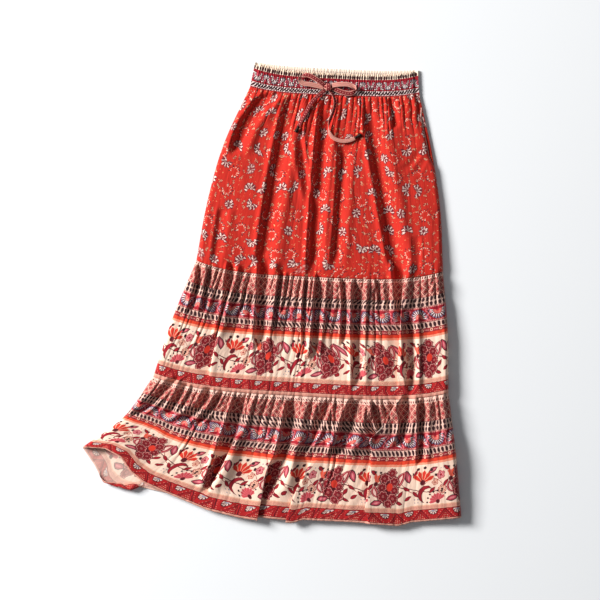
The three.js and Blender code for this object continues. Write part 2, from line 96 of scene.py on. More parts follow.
# Each cord: the steps of its route, its width, and its twist in degrees at the start and the end, with the
# two shares of its length between which it turns
CORD_TABLE = {
    "tail_left": dict(steps=60, width=TIE_WIDTH, twist=(10, -24, 0, 1), route=[
        (102.9, 391.5, 11.2), (92, 382.5, 12.6), (76, 366, 14.4), (66, 348, 15.4), (56, 331, 15.8),
        (52, 322, 15.8),
    ]),
    "tail_right": dict(steps=90, width=TIE_WIDTH, twist=(42, 180, 0.4, 0.72), route=[
        (112.4, 390.4, 11.2), (119, 380, 12.8), (122, 366, 14.2), (118, 348, 15), (111, 330, 15.4),
        (110, 312, 15.4), (119, 299, 15.4), (136, 293, 15.4), (152, 295, 15.4), (160, 299, 15.4),
    ]),
    "loop_left": dict(steps=90, width=LOOP_WIDTH, twist=(-8, -180, 0.34, 0.6), route=[
        (100.9, 400.2, 15.6), (88, 410, 18), (68, 420, 17.5), (54.5, 415.5, 15.6), (58, 405.5, 14.2),
        (76, 402, 13.6), (100.2, 396.8, 12.6),
    ]),
    "loop_right": dict(steps=90, width=LOOP_WIDTH, twist=(188, 12, 0.36, 0.62), route=[
        (116.4, 400, 15.4), (130, 402, 16.8), (150, 401, 16.5), (162, 392.5, 15.4), (152, 384.5, 14.4),
        (134, 388, 13.8), (117.5, 395.2, 12.8),
    ]),
}
ROUTE_SUBSTEPS = 24


def in_metres(points):
    """Points of the tables, in millimetres, moved to the middle of the outline and turned into metres."""
    return (np.array(points, float) - (OUTLINE_MIDDLE, 0, 0)) * MM


def running_length(points):
    """Length along the points, from 0 at the first."""
    return np.concatenate([[0], np.cumsum(np.linalg.norm(np.diff(points, axis=0), axis=1))])


def smooth_route(points, steps):
    """A centripetal Catmull-Rom curve through the points in that many equal steps, and its length."""
    points = in_metres(points)
    points = np.vstack([2 * points[0] - points[1], points, 2 * points[-1] - points[-2]])
    knots = np.concatenate([[0], np.cumsum(np.linalg.norm(np.diff(points, axis=0), axis=1) ** 0.5)])
    fine = []
    for i in range(1, len(points) - 2):
        t = np.linspace(knots[i], knots[i + 1], ROUTE_SUBSTEPS, endpoint=False)[:, None]
        p = [points[i + k] for k in (-1, 0, 1, 2)]
        k = [knots[i + j] for j in (-1, 0, 1, 2)]
        a = [(p[j] * (k[j + 1] - t) + p[j + 1] * (t - k[j])) / (k[j + 1] - k[j]) for j in range(3)]
        b = [(a[j] * (k[j + 2] - t) + a[j + 1] * (t - k[j])) / (k[j + 2] - k[j]) for j in range(2)]
        fine.append((b[0] * (k[2] - t) + b[1] * (t - k[1])) / (k[2] - k[1]))
    fine = np.vstack([*fine, points[-2]])
    along = running_length(fine)
    at = np.linspace(0, along[-1], steps + 1)
    return np.stack([np.interp(at, along, fine[:, axis]) for axis in range(3)], axis=1), along[-1]


cords = {}
for name, row in CORD_TABLE.items():
    route, length = smooth_route(row["route"], row["steps"])
    cords[name] = dict(path=route, length=length)
    print(name.replace("_", " "), "is", round(length, 3), "m long")

# %% [markdown]
# # Meshes from grids
# Cloth, tape and turned metal are all grids of points, so one helper builds them. It takes the points
# row by row, joins neighbours with four-sided faces, and keeps for each point its place on the flat
# cloth, in metres. The prints are drawn in that map, so they bend and crowd together with the cloth.

# %% Mesh helper
CLOTH_MAP = "cloth"


def joined(*parts):
    """Joins tables of numbers, such as x, y and height, into one table of points."""
    return np.stack(np.broadcast_arrays(*parts), axis=-1)


def shares(count):
    """A column of even shares from 0 to 1."""
    return np.linspace(0, 1, count)[:, None]


def round_turns(count):
    """A row of even angles round a full turn."""
    return np.linspace(0, 2 * np.pi, count, endpoint=False)[None, :]


def grid_piece(name, points, cloth, wrap=False):
    """A smooth piece from points[row, column] in metres and their places on the flat cloth. Where wrap is
    true its last column is joined to its first."""
    rows, columns = points.shape[:2]
    index = np.arange(rows * columns).reshape(rows, columns)
    if wrap:
        index = np.hstack([index, index[:, :1]])
    faces = np.stack([index[:-1, :-1], index[1:, :-1], index[1:, 1:], index[:-1, 1:]], axis=-1)
    faces = faces.reshape(-1, 4)
    mesh = bpy.data.meshes.new(name)
    mesh.from_pydata(points.reshape(-1, 3).tolist(), [], faces.tolist())
    uv = mesh.uv_layers.new(name=CLOTH_MAP)
    uv.data.foreach_set("uv", cloth.reshape(-1, 2)[faces.ravel()].astype(np.float32).ravel())
    mesh.shade_smooth()
    return add_object(name, mesh)


def sheet_piece(name, points, u, v, thickness):
    """A sheet with its place on the flat cloth, u across and v down. Its other side gets the next slot."""
    piece = grid_piece(name, points, joined(u, v))
    solid = piece.modifiers.new("cloth thickness", "SOLIDIFY")
    solid.thickness = thickness
    solid.offset = -1
    solid.material_offset = 1
    solid.use_even_offset = False
    return piece


print("places on the cloth are in the map", CLOTH_MAP)

# %% [markdown]
# # The cut of the skirt
# The outline is kept as cross lines from the waist to the hem, in millimetres: where each line ends at
# the left and right, and how far its middle sags. A smooth curve through them gives any line between.
# The two hems have outlines of their own, because the hem swings out and steps at each large fold.

# %% Outline tables
# Each cross line: x and y of its left end, x and y of its right end, and how far its middle sags
SECTION_VALUES = ("left_x", "left_y", "right_x", "right_y", "sag")
SECTIONS = {
    "waist top": (-31.4, 446.8, 281.3, 432.1, 14),
    "waist top back": (-31.4, 446.8, 281.3, 432.1, 6.5),
    "waist seam": (-41.4, 398.9, 283.8, 386, 11),
    "hip": (-92.9, 287.2, 308.9, 271.6, 13),
    "thigh": (-124.6, 175.3, 325.1, 157, 18),
    "upper seam": (-145.2, 63.5, 329.9, 42.5, 22),
    "knee": (-191.5, -48.3, 339.2, -74.3, 22),
    "lower seam": (-228.2, -159.8, 340.5, -191, 22),
    "calf": (-285.1, -237.4, 355.2, -310.9, 24),
    "hem": (-364.3, -295.7, 365.3, -430.8, 0),
}
# Hem edges: share of the way across, and where that point of the edge lies
FRONT_HEM = np.array([
    (0, -364.3, -295.7), (0.06, -320.9, -297.8), (0.1, -290.9, -313.6), (0.13, -271.6, -342.6),
    (0.17, -246.6, -363.8), (0.22, -209.9, -380.4), (0.33, -126.9, -415.5), (0.45, -36.2, -437.6),
    (0.48, -20.6, -429.4), (0.56, 46.8, -441.4), (0.59, 60.3, -435.2), (0.72, 151, -439.8),
    (0.84, 243.7, -447.5), (0.88, 268, -440.5), (1, 365.3, -430.8),
])
BACK_HEM = np.array([
    (0, -364.3, -297.6), (0.04, -341, -332), (0.06, -324, -366), (0.09, -303, -379), (0.12, -284, -384),
    (0.15, -262, -371), (0.21, -205, -384), (0.33, -126.9, -413), (0.45, -36.2, -430), (0.59, 60.3, -433),
    (0.72, 151, -437), (0.84, 243.7, -441), (1, 365.3, -430.8),
])

print(len(SECTIONS), "cross lines")


# %% Points on the plan
def mix(a, b, t):
    return a + (b - a) * t


def smooth(start, end, x):
    """Eases from 0 at start to 1 at end, which may be the smaller."""
    t = np.clip((x - start) / (end - start), 0, 1)
    return t * t * (3 - 2 * t)


def bell(off):
    """A bell curve: 1 in its middle, and next to nothing from 2 on."""
    return np.exp(-(off ** 2))


def through(values, share):
    """Values on the smooth curve through evenly spaced values."""
    v = [2 * values[0] - values[1], *values, 2 * values[-1] - values[-2]]
    last = len(values) - 1
    at = np.clip(share, 0, 1) * last
    i = np.minimum(at.astype(int), last - 1)
    t = at - i
    a, b, c, d = (np.take(v, i + k) for k in range(4))
    return b + 0.5 * t * (c - a + t * (2 * a - 5 * b + 4 * c - d + t * (3 * (b - c) + d - a)))


def cross_line(names, down):
    """The two ends and the sag of the cross line at shares of a panel's length."""
    columns = zip(*(SECTIONS[name] for name in names))
    line = {key: through(values, down) for key, values in zip(SECTION_VALUES, columns)}
    line["width"] = np.hypot(line["right_x"] - line["left_x"], line["right_y"] - line["left_y"])
    return line


def plan(names, across, down, hem=None):
    """Where points of a panel lie, seen from above, in millimetres."""
    line = cross_line(names, down)
    x = mix(line["left_x"], line["right_x"], across)
    y = mix(line["left_y"], line["right_y"], across) - line["sag"] * (1 - (2 * across - 1) ** 4)
    if hem is not None:
        end = cross_line(names, np.ones_like(down))
        edge_x, edge_y = (np.interp(across, hem[:, 0], hem[:, k]) for k in (1, 2))
        x = x + (edge_x - mix(end["left_x"], end["right_x"], across)) * down ** 2
        y = y + (edge_y - mix(end["left_y"], end["right_y"], across)) * down ** 2
    return x, y


hem_line = cross_line(["calf", "hem"], np.array([1.0]))
print("hem from side to side:", round(float(hem_line["width"][0])), "mm")

# %% [markdown]
# # Folds
# Two things shape the lying cloth. A trough is a soft valley: the cloth goes down on a bell curve that is
# steeper on one side. A lap is a fold that has fallen over: the cloth slides sideways as well as up
# and down, so that one layer lies on the next with a sharp edge. Both follow a line by three points, and
# both are placed one by one, each with its own width, depth and length. Waves keep the rest uneven.

# %% Fold tables
# Each row: top x, top y, middle x, middle y, end x, end y, half width, depth. The right side is the steep
# one where the half width is above 0, and the left side where it is below 0.
TROUGHS = [
    (-3, 389, -46, 338, -72, 262, -14, 10),
    (37, 377, 4, 223, -22, 24, -16, 9),
    (53, 350, 62, 248, 85, 152, 8, 5),
    (103, 377, 89, 238, 75, 20, -13, 12),
    (136, 290, 128, 152, 118, 34, -11, 6),
    (-95, 170, -104, 110, -112, 52, -10, 3),
    (182, 373, 205, 229, 246, 10, -16, 10),
    (228, 377, 233, 345, 236, 316, -8, 6),
    (280, 113, 282, 61, 280, 34, 8, 2),
    (290, 284, 279, 262, 260, 238, 7, 1.5),
    (296, 262, 288, 244, 270, 222, 7, 1),
    (-140, 60, -146, 7, -162, -40, -7, 10),
    (-120, 54, -127, 7, -137, -42, -6, 9),
    (-79, 64, -92, -12, -114, -96, -8, 17),
    (-52, 12, -55, -12, -61, -36, -4, 6),
    (-15, 72, -21, -12, -27, -112, -12, 18),
    (18, 46, 10, -12, 2, -74, -5, 10),
    (66, 36, 62, -32, 60, -104, -5, 9),
    (90, 40, 85, -32, 77, -136, -8, 16),
    (136, 32, 138, -32, 134, -104, -6, 13),
    (163, 30, 161, -51, 161, -190, -10, 17),
    (201, 28, 205, 3, 207, -24, -5, 8),
    (240, 66, 242, 7, 244, -60, -12, 17),
    (265, -18, 267, -90, 267, -198, -8, 14),
    (-181, -159, -212, -194, -262, -238, 8, 10),
    (-164, -171, -179, -202, -200, -235, 8, 9),
    (-121, -179, -133, -213, -181, -252, 9, 11),
    (-94, -186, -110, -215, -144, -254, 6, 8),
    (-60, -192, -80, -255, -130, -386, -14, 20),
    (38, -199, 27, -265, -4, -392, -13, 21),
    (112, -202, 91, -254, 64, -306, 9, 10),
    (160, -200, 142, -254, 118, -318, -15, 21),
    (193, -206, 199, -250, 197, -300, -6, 12),
    (258, -192, 254, -246, 240, -300, -9, 15),
    (286, -200, 286, -262, 283, -335, -8, 12),
]
# Each row: the same line, half width, how high one layer lies on the other, and how far it laps over at
# the top and at the end. A lap to the left (-) has its right layer on top, one to the right (+) its left.
LAPS = [
    (-69, 41, -96, -47, -123, -179, 9, 5, -4, -8),
    (256, 52, 250, -61, 243, -196, 9, 6, -9, -13),
    (-61, -254, -83, -306, -128, -392, 10, 4, -6, -12),
    (1, -306, -14, -360, -33, -440, 12, 5, 10, 15),
    (86, -306, 62, -348, 30, -440, 10, 3.5, -8, -12),
    (246, -196, 216, -254, 186, -300, 9, 5, -12, -9),
    (197, -250, 196, -330, 184, -452, 15, 6, -14, -26),
]
# Each row: x, y, half width, half length and height of a broad swell
SWELLS = [
    (-299, -303, 44, 50, 9),
    (-60, 250, 60, 120, 2.5),
    (170, 220, 40, 110, 2),
    (300, 60, 40, 160, 2),
    (354, -330, 58, 120, 13),
    (334, -110, 34, 170, 4.5),
    (105, 345, 55, 50, -2),
    (230, -400, 30, 60, 3),
]
# Each row: height of a long wave, and its lengths across and down. One below 0 leans it the other way.
WAVES = [(0.9, 23, 61), (0.7, 37, -47)]
# Each row: height of uneven patches, their width and length, and the seed of their random numbers
PATCHES = [(0.9, 26, 90, 1), (0.5, 11, 45, 2)]
PATCH_LEAN = 0.25
# The steep side of a valley is this share as wide as the other
STEEP = 0.5
# The raised shoulder beside a valley: its height as a share of the depth, its place and its width
SHOULDER = 0.42
SHOULDER_PLACE = 1.9
SHOULDER_WIDTH = 0.7
# A lap whose line ends below this goes on to the hem
HEM_LAP_END = -400
LAP_LIMIT = 1.5
# The least height of a front, and how softly the folds and then the gathers turn on it
LOWEST_FRONT = 3.8
FOLD_TURN = 1.6
GATHER_TURN = 0.8
RANDOM_GRID = 160
RANDOM_START = 40
print(len(TROUGHS), "troughs,", len(LAPS), "laps and", len(SWELLS), "swells")


# %% Fold helpers
def across_fold(fold, x, y):
    """Distance to the right of a fold's line, the share of its length, and the slope of the line."""
    top_x, top_y, mid_x, mid_y, end_x, end_y = fold[:6]
    length = top_y - end_y
    down = (top_y - y) / length
    middle = (top_y - mid_y) / length
    bend = (mid_x - mix(top_x, end_x, middle)) / (middle * (1 - middle))
    centre = mix(top_x, end_x, down) + bend * down * (1 - down)
    slope = (end_x - top_x + bend * (1 - 2 * down)) / length
    return (x - centre) / np.hypot(1, slope), down, slope


def trough_depth(fold, x, y):
    """Depth of a valley with a soft raised shoulder on both sides."""
    off, down, _ = across_fold(fold, x, y)
    half, depth = fold[6:8]
    off = np.abs(off / half) * np.where(off * half > 0, 1 / STEEP, 1)
    ends = smooth(0, 0.12, down) * smooth(1, 0.8, down)
    return depth * ends * (bell(off) - SHOULDER * bell((off - SHOULDER_PLACE) / SHOULDER_WIDTH))


def lap_shift(fold, x, y):
    """How far a fallen fold moves the cloth to the right and up."""
    off, down, slope = across_fold(fold, x, y)
    half, high, top_lap, end_lap = fold[6:10]
    runs_out = y.min() > fold[5] + 3
    ends = smooth(0, 0.2, down) * (smooth(1.02, 0.8, down) if fold[5] > HEM_LAP_END or runs_out else 1.0)
    ends = ends * (down < LAP_LIMIT)
    t = off / half
    wave = -t * np.exp(0.5 - 0.5 * t * t) * ends
    lap = mix(top_lap, end_lap, np.clip(down, 0, 1))
    return np.abs(lap) * wave / np.hypot(1, slope), high * np.sign(lap) * wave


def wave_field(x, y, size_x, size_y, seed):
    """Smooth uneven values from -1 to 1, in patches of about that size."""
    draw = np.random.default_rng(seed).random((RANDOM_GRID, RANDOM_GRID)) * 2 - 1
    a, b = x / size_x + RANDOM_START, y / size_y + RANDOM_START
    i, j = (np.floor(place).astype(int) % (RANDOM_GRID - 2) for place in (a, b))
    s, t = smooth(0, 1, a - np.floor(a)), smooth(0, 1, b - np.floor(b))
    return mix(mix(draw[i, j], draw[i + 1, j], s), mix(draw[i, j + 1], draw[i + 1, j + 1], s), t)


def held_up(high, soft):
    """Heights kept over the lowest that a front may have, with a soft turn of that size."""
    free = high - LOWEST_FRONT
    return LOWEST_FRONT + 0.5 * (free + np.hypot(free, soft))


def folded(x, y, high):
    """Moves flat points into the lying cloth: returns x, y and height, in millimetres."""
    for rise, wide, long in WAVES:
        high = high + rise * np.sin(x / wide + y / long)
    for cx, cy, wide, long, rise in SWELLS:
        high = high + rise * np.exp(-(((x - cx) / wide) ** 2) - ((y - cy) / long) ** 2)
    for fold in TROUGHS:
        high = high - trough_depth(fold, x, y)
    for rise, *patch in PATCHES:
        high = high + rise * wave_field(x + PATCH_LEAN * y, y, *patch)
    slide = np.zeros_like(x)
    for fold in LAPS:
        right, up = lap_shift(fold, x, y)
        slide = slide + right
        high = high + up
    return x + slide, y, held_up(high, FOLD_TURN)


print("lowest front:", LOWEST_FRONT, "mm")

# %% [markdown]
# # Gathers
# Where a wide edge is sewn to a narrow one, the spare cloth stands in small rounded ridges between
# narrow creases. Near the seam they are close together. Further down some die away and others lean
# towards each other. Each tier has its own number of them, with uneven widths, depths and lengths.

# %% Gathers of a tier
TIERS = {
    "upper": dict(
        sections=["waist seam", "hip", "thigh", "upper seam"], cut=(0.52, 0.35), grid=(142, 330), hem=None,
        gathers=30, depth=2.3, run=0.1, start=0.9, heights=(10.0, 14.5), salt=3, fine=0.8, reach=0.16,
    ),
    "middle": dict(
        sections=["upper seam", "knee", "lower seam"], cut=(0.763, 0.2325), grid=(116, 400), hem=None,
        gathers=36, depth=3.9, run=0.55, start=0.6, heights=(14.5, 17.0), salt=5, fine=1.8, reach=0.35,
    ),
    "lower": dict(
        sections=["lower seam", "calf", "hem"], cut=(0.86, 0.2325), grid=(114, 420), hem=FRONT_HEM,
        gathers=40, depth=4.4, run=0.42, start=0.6, heights=(17.0, 14.0), salt=7, fine=1.8, reach=0.35,
    ),
}
# The run of a gather is how far down it goes. Runs and depths are spread from the first number up, by the
# second times a random share.
UNEVEN_RUN = (0.3, 1.7)
UNEVEN_DEPTH = (0.45, 1.0)
# A gather wanders sideways by up to this many widths, in patches of so many gathers and lengths
WANDER = 1.3
WANDER_PATCH = (3.1, 0.45)
RIDGE_ROUNDNESS = 0.42
RIDGE_BASE = 1.5
# The share of the length in which gathers reach their full depth, and what is left of them far down
SEAM_SWELL = 0.07
GATHER_LEFT = 0.12
# How much shorter the front's gathers are at the right, and where that sets in
RIGHT_CALM = 0.6
CALM_FROM = (0.72, 0.86)
CREASE_PATCH = (5.5, 0.3)
CREASE_SALT = 20
BACK_SALT = 40
HASH = (12.9898, 78.233, 43758.5453)


def uneven(n, salt):
    """Repeatable numbers from 0 to 1 that make gathers uneven."""
    value = np.sin(n * HASH[0] + salt * HASH[1]) * HASH[2]
    return value - np.floor(value)


def gather_height(start, middle, down, count, salt, depth, run, calm=0.0):
    """Height of the gathers, in millimetres: rounded ridges between narrow creases. start is their share
    of the full depth right at the seam, and calm shortens them towards the right."""
    widths = 0.5 + uneven(np.arange(count), salt)
    edges = np.concatenate([[0], np.cumsum(widths) / widths.sum()])
    wander = wave_field(middle * count, down, *WANDER_PATCH, salt) * WANDER / count
    wander = wander * smooth(0.02, 0.6, down)
    at = np.clip(middle + wander, 0, 1 - 1e-9)
    which = np.clip(np.searchsorted(edges, at, side="right") - 1, 0, count - 1)
    share = (at - edges[which]) / (edges[which + 1] - edges[which])
    profile = 2 * np.sin(np.pi * np.clip(share, 0, 1)) ** RIDGE_ROUNDNESS - RIDGE_BASE
    centres = 0.5 * (edges[1:] + edges[:-1])
    own = np.arange(count)
    runs = run * (UNEVEN_RUN[0] + UNEVEN_RUN[1] * uneven(own, salt + 1) ** 2)
    depths = depth * (UNEVEN_DEPTH[0] + UNEVEN_DEPTH[1] * uneven(own, salt + 2))
    runs, depths = np.interp(at, centres, runs), np.interp(at, centres, depths)
    swell = mix(start, 1, smooth(0, SEAM_SWELL, down))
    runs = runs * (1 - calm * smooth(*CALM_FROM, middle))
    fade = mix(1, GATHER_LEFT, smooth(0.1, 1, down / (runs + 0.25)))
    return profile * depths * swell * fade


def fine_creases(tier, middle, down, width):
    """Narrow creases close to the seam, between the larger gathers."""
    ridges = np.abs(wave_field(middle * width, down, *CREASE_PATCH, tier["salt"] + CREASE_SALT)) ** 0.6
    return tier["fine"] * (2 * ridges - 1) * smooth(tier["reach"], 0, down)


for name, tier in TIERS.items():
    print(name, "tier:", tier["gathers"], "gathers on", round(1000 * tier["cut"][0]), "mm of flat cloth")

# %% [markdown]
# # The fronts of the three tiers
# Each front is one thin sheet, worked out row by row from its seam down: its plan, the folds, and then
# its gathers. Its sides round over at the side seams. A sheet can't stretch, so its place on the flat
# cloth is measured along each row after it has been folded: print that goes into a fold is hidden there,
# and isn't pulled wide. A Solidify modifier gives the sheet its half millimetre of thickness.

# %% Front sheets
SIDE_SEAM_HEIGHT = 5.0
CLOTH_THICKNESS = 0.5 * MM
# How deep a seam is drawn in, how fast that fades below it and above the next seam, and how far the next
# tier's gathers press through there
PUCKER = 1.6
PUCKER_FADE = 40
NEXT_FADE = 30
NEXT_DEPTH = 1.4
SEAM_GAP = 0.3
POCKET = dict(top_y=362, bottom_y=238, inset=7, ease=30)
PRINT_START = {"upper": 0.0, "middle": 0.0, "lower": -0.004}
# How a sheet rounds over at its side edges: the radius, and the columns and the angle it takes
FRONT_EDGE = dict(radius=8.0, columns=7, limit=math.radians(80))
BACK_EDGE = dict(radius=6.0, columns=4, limit=math.radians(90))


def panel_grid(names, down, count, edge):
    """The columns of a sheet at rows down. Gives each point's share across the plan, its share down, its
    share across the flat cloth, and how far it has risen from the side seam. Gives each row's width too."""
    steps = edge["columns"]
    bend = np.linspace(0, edge["limit"], steps)
    side = np.concatenate([-np.ones(steps), np.zeros(count + 1), np.ones(steps)])
    angle = np.concatenate([bend, np.zeros(count + 1), bend[::-1]])
    middle = np.concatenate([np.zeros(steps), np.linspace(0, 1, count + 1), np.ones(steps)])
    width = cross_line(names, down)["width"]
    round_share = edge["radius"] / width
    reach = round_share * (1 - np.cos(angle))
    inner = round_share + middle * (1 - 2 * round_share)
    across = np.where(side == 0, inner, np.where(side < 0, reach, 1 - reach))
    risen = np.where(side == 0, 1, np.sin(angle))
    return *np.broadcast_arrays(across, down, middle, risen), width


def along_cloth(points, width, rows=4):
    """Place of each column on the flat cloth, from the length of the folded row, evened over nearby rows."""
    steps = np.linalg.norm(np.diff(points, axis=1), axis=2)
    along = np.concatenate([np.zeros((len(points), 1)), np.cumsum(steps, axis=1)], axis=1)
    along = along / along[:, -1:]
    padded = np.pad(along, ((rows, rows), (0, 0)), mode="edge")
    near = 2 * rows + 1
    return width * sum(padded[k:k + len(points)] for k in range(near)) / near


def pocket_inset(across, y):
    """How far the mouth of the pocket pulls the right side inwards."""
    mouth = smooth(POCKET["bottom_y"], POCKET["bottom_y"] + POCKET["ease"], y)
    mouth = mouth * smooth(POCKET["top_y"], POCKET["top_y"] - POCKET["ease"], y)
    return POCKET["inset"] * mouth * smooth(0.82, 1, across)


def gathers_of(tier, middle, down, depth, run, calm=0.0):
    return gather_height(tier["start"], middle, down, tier["gathers"], tier["salt"], depth, run, calm)


def front_sheet(name, next_tier=None):
    """A tier's front, by rows from its seam down. The gathers of the next tier pull at its lower edge."""
    tier = TIERS[name]
    rows, count = tier["grid"]
    across, down, middle, risen, width = panel_grid(tier["sections"], shares(rows), count, FRONT_EDGE)
    x, y = plan(tier["sections"], across, down, tier["hem"])
    x = x - pocket_inset(across, y)
    y = y - SEAM_GAP * (1 - down)
    x, y, high = folded(x, y, mix(*tier["heights"], down))
    high = high + gathers_of(tier, middle, down, tier["depth"], tier["run"], RIGHT_CALM)
    high = high + fine_creases(tier, middle, down, width)
    high = high - PUCKER * np.exp(-down * PUCKER_FADE)
    if next_tier:
        below = gathers_of(TIERS[next_tier], middle, 0 * down, NEXT_DEPTH, 1)
        high = high + (below - PUCKER) * np.exp((down - 1) * NEXT_FADE)
    high = mix(SIDE_SEAM_HEIGHT, held_up(high, GATHER_TURN), risen)
    points = in_metres(joined(x, y, high))
    u, v = along_cloth(points, tier["cut"][0]), down * tier["cut"][1] + PRINT_START[name]
    piece = sheet_piece(f"{name}_tier_front", points, u, v, CLOTH_THICKNESS)
    print(piece.name, len(piece.data.polygons), "faces")
    return piece


fronts = {
    "upper": front_sheet("upper", "middle"),
    "middle": front_sheet("middle", "lower"),
    "lower": front_sheet("lower"),
}

# %% [markdown]
# # The backs
# The backs lie flat on the floor under the fronts, with low gathers that rise from it. At the left corner
# the back shows past the front, with its paler reverse side up, and its edge rolls up and over.

# %% Back sheets
BACK_GRID = (76, 240)
# Rows of a back crowd towards its lower edge by this power, where the hem rolls up
BACK_CROWDING = 1.5
BACK_LIFT = 1.45
BACK_GATHER = 1.05
BACK_THICKNESS = 0.4 * MM
BACK_SEAM_HEIGHT = SIDE_SEAM_HEIGHT - 0.5
ROLL = dict(start=0.05, end=0.165, length=27.0, radius=4.2, limit=3.5, spare=60, near=0.03)


def roll_edge(x, y, high, across, from_edge):
    """Rolls the hem up and over on itself between two shares of the way across. Its fold stays on the hem's
    outline, because the spare cloth comes from above."""
    share = (across - ROLL["start"]) / (ROLL["end"] - ROLL["start"])
    radius = ROLL["radius"]
    length = ROLL["length"] * np.sin(np.pi * np.clip(share, 0, 1)) ** 0.5
    over = np.clip(length - from_edge, 0, None)
    angle = np.minimum(over / radius, ROLL["limit"])
    straight = over - radius * angle
    spare = np.clip(length - radius, 0, None) * smooth(ROLL["spare"], 0, from_edge)
    out = radius * np.sin(angle) + straight * np.cos(angle) - over + spare
    later, earlier = ([np.interp(at, BACK_HEM[:, 0], BACK_HEM[:, k]) for k in (1, 2)]
                      for at in (across + ROLL["near"], across - ROLL["near"]))
    ahead_x, ahead_y = later[0] - earlier[0], later[1] - earlier[1]
    long = np.hypot(ahead_x, ahead_y)
    high = high + radius * (1 - np.cos(angle)) + straight * np.sin(angle)
    return x + out * ahead_y / long, y - out * ahead_x / long, high


def back_sheet(name, hem=None):
    tier = TIERS[name]
    rows, count = BACK_GRID
    crowded = 1 - np.linspace(1, 0, rows)[:, None] ** BACK_CROWDING
    across, down, middle, risen, _ = panel_grid(tier["sections"], crowded, count, BACK_EDGE)
    x, y = plan(tier["sections"], across, down, hem)
    y = y - SEAM_GAP * (1 - down)
    gathers = gather_height(
        tier["start"], middle, down, 2 * tier["gathers"], tier["salt"] + BACK_SALT, BACK_GATHER, 3)
    high = BACK_LIFT + BACK_GATHER + gathers
    if hem is not None:
        x, y, high = roll_edge(x, y, high, across, (1 - down) * 1000 * tier["cut"][1])
    points = in_metres(joined(x, y, mix(BACK_SEAM_HEIGHT, high, risen)))
    u, v = along_cloth(points, tier["cut"][0]), down * tier["cut"][1] + PRINT_START[name]
    return sheet_piece(f"{name}_tier_back", points, u, v, BACK_THICKNESS)


backs = {"upper": back_sheet("upper"), "middle": back_sheet("middle"), "lower": back_sheet("lower", BACK_HEM)}
print("backs:", [piece.name for piece in backs.values()])

# %% [markdown]
# # The waistband
# A casing of doubled cloth holds the elastic, and a small heading stands above it as a frill. Pulled
# together by the elastic, it is all fine upright gathers. The heading's gathers are deeper, and its edge
# goes up and down with them. The back of the band shows as a thin line behind the front.

# %% Waistband sheets
BAND = dict(gathers=34, small=96, back=60, heading=0.2, crown=1.2, height=7.2, lift=0.4, salt=11)
# The band's ruffle: shares of the large and small gathers, what the frill adds to them, and how much they
# are held and pressed down at the seams of the casing, each of them this wide
RUFFLE = dict(large=0.7, small=1.3, frill=0.7, held=0.3, pressed=0.9, seam=0.05, lower_seam=0.95)
# The edge of the heading: how it follows the small gathers, how it strays, and how far it sinks
EDGE = dict(follow=1.4, stray=0.8, sink=1.2)
BAND_CUT = (0.48, 0.05)
BAND_GRID = (40, 760)
BAND_BACK_GRID = (18, 250)
BAND_BACK_HEIGHT = 1.6
BAND_THICKNESS = 0.8 * MM


def band_gathers(middle, down, count, extra_salt, depth, run):
    return gather_height(1.0, middle, down, count, BAND["salt"] + extra_salt, depth, run)


def band_front():
    """Large and small gathers, deeper in the heading and held down along both seams of the casing."""
    rows, count = BAND_GRID
    names = ["waist top", "waist seam"]
    across, down, middle, risen, _ = panel_grid(names, shares(rows), count, FRONT_EDGE)
    x, y = plan(names, across, down)
    large = band_gathers(middle, 0.05 * down, BAND["gathers"], 0, 1, 1)
    small = band_gathers(middle + 0.004 * down, 0.3 * down, BAND["small"], 5, 1, 3)
    frill = smooth(BAND["heading"] + 0.05, 0, down)
    seams = (down - BAND["heading"] - 0.04, down - RUFFLE["lower_seam"])
    held = bell(seams[0] / RUFFLE["seam"]) + bell(seams[1] / RUFFLE["seam"])
    ruffle = (RUFFLE["large"] * large + RUFFLE["small"] * small) * (1 + RUFFLE["frill"] * frill)
    ruffle = ruffle * (1 - RUFFLE["held"] * held)
    high = BAND["height"] + BAND["crown"] * np.sin(np.pi * across) + ruffle - RUFFLE["pressed"] * held
    y = y + EDGE["follow"] * smooth(BAND["heading"], 0, down) * small
    y = y + EDGE["stray"] * frill * wave_field(middle * 60, down, 1, 1, 8) - EDGE["sink"] * frill
    points = in_metres(joined(x, y, mix(SIDE_SEAM_HEIGHT + BAND["lift"], high, risen)))
    u = along_cloth(points, BAND_CUT[0], 12)
    return sheet_piece("waistband_casing_front", points, u, down * BAND_CUT[1], BAND_THICKNESS)


def band_back():
    rows, count = BAND_BACK_GRID
    names = ["waist top back", "waist seam"]
    across, down, middle, risen, _ = panel_grid(names, shares(rows), count, BACK_EDGE)
    x, y = plan(names, across, down)
    ruffle = band_gathers(middle, 0.05 * down, BAND["back"], 9, 0.55, 1)
    y = y + 1.2 * smooth(0.25, 0, down) * ruffle
    high = BAND_BACK_HEIGHT + ruffle + 1.2 * smooth(0.3, 0, down)
    points = in_metres(joined(x, y, mix(BACK_SEAM_HEIGHT, high, risen)))
    u, v = middle * BAND_CUT[0], down * BAND_CUT[1]
    return sheet_piece("waistband_casing_back", points, u, v, BAND_THICKNESS)


band = {"front": band_front(), "back": band_back()}
print("waistband:", [piece.name for piece in band.values()])

# %% [markdown]
# # The bow
# The tape is swept along its route as a flat section with rounded edges. It turns over in each loop and in
# the right tail, so its paler reverse shows there. The reverse lies further along the map than the face,
# so that a print can tell them apart. The knot is a small lump with one turn of tape round its middle.

# %% Tape, loops and knot
SECTION_POINTS = 20
# Powers that make the tape's section a flat shape with rounded edges
SECTION_POWERS = (0.5, 0.8)
REVERSE_PLACE = 0.02
KNOT_GRID = (32, 64)
KNOT_POLE = 0.02
KNOT_CREASE = 0.07
KNOT_SQUEEZE = (1, 0.8, 0.75)
WRAP_POINTS = 48
WRAP_SIZE = (8, 1.2)
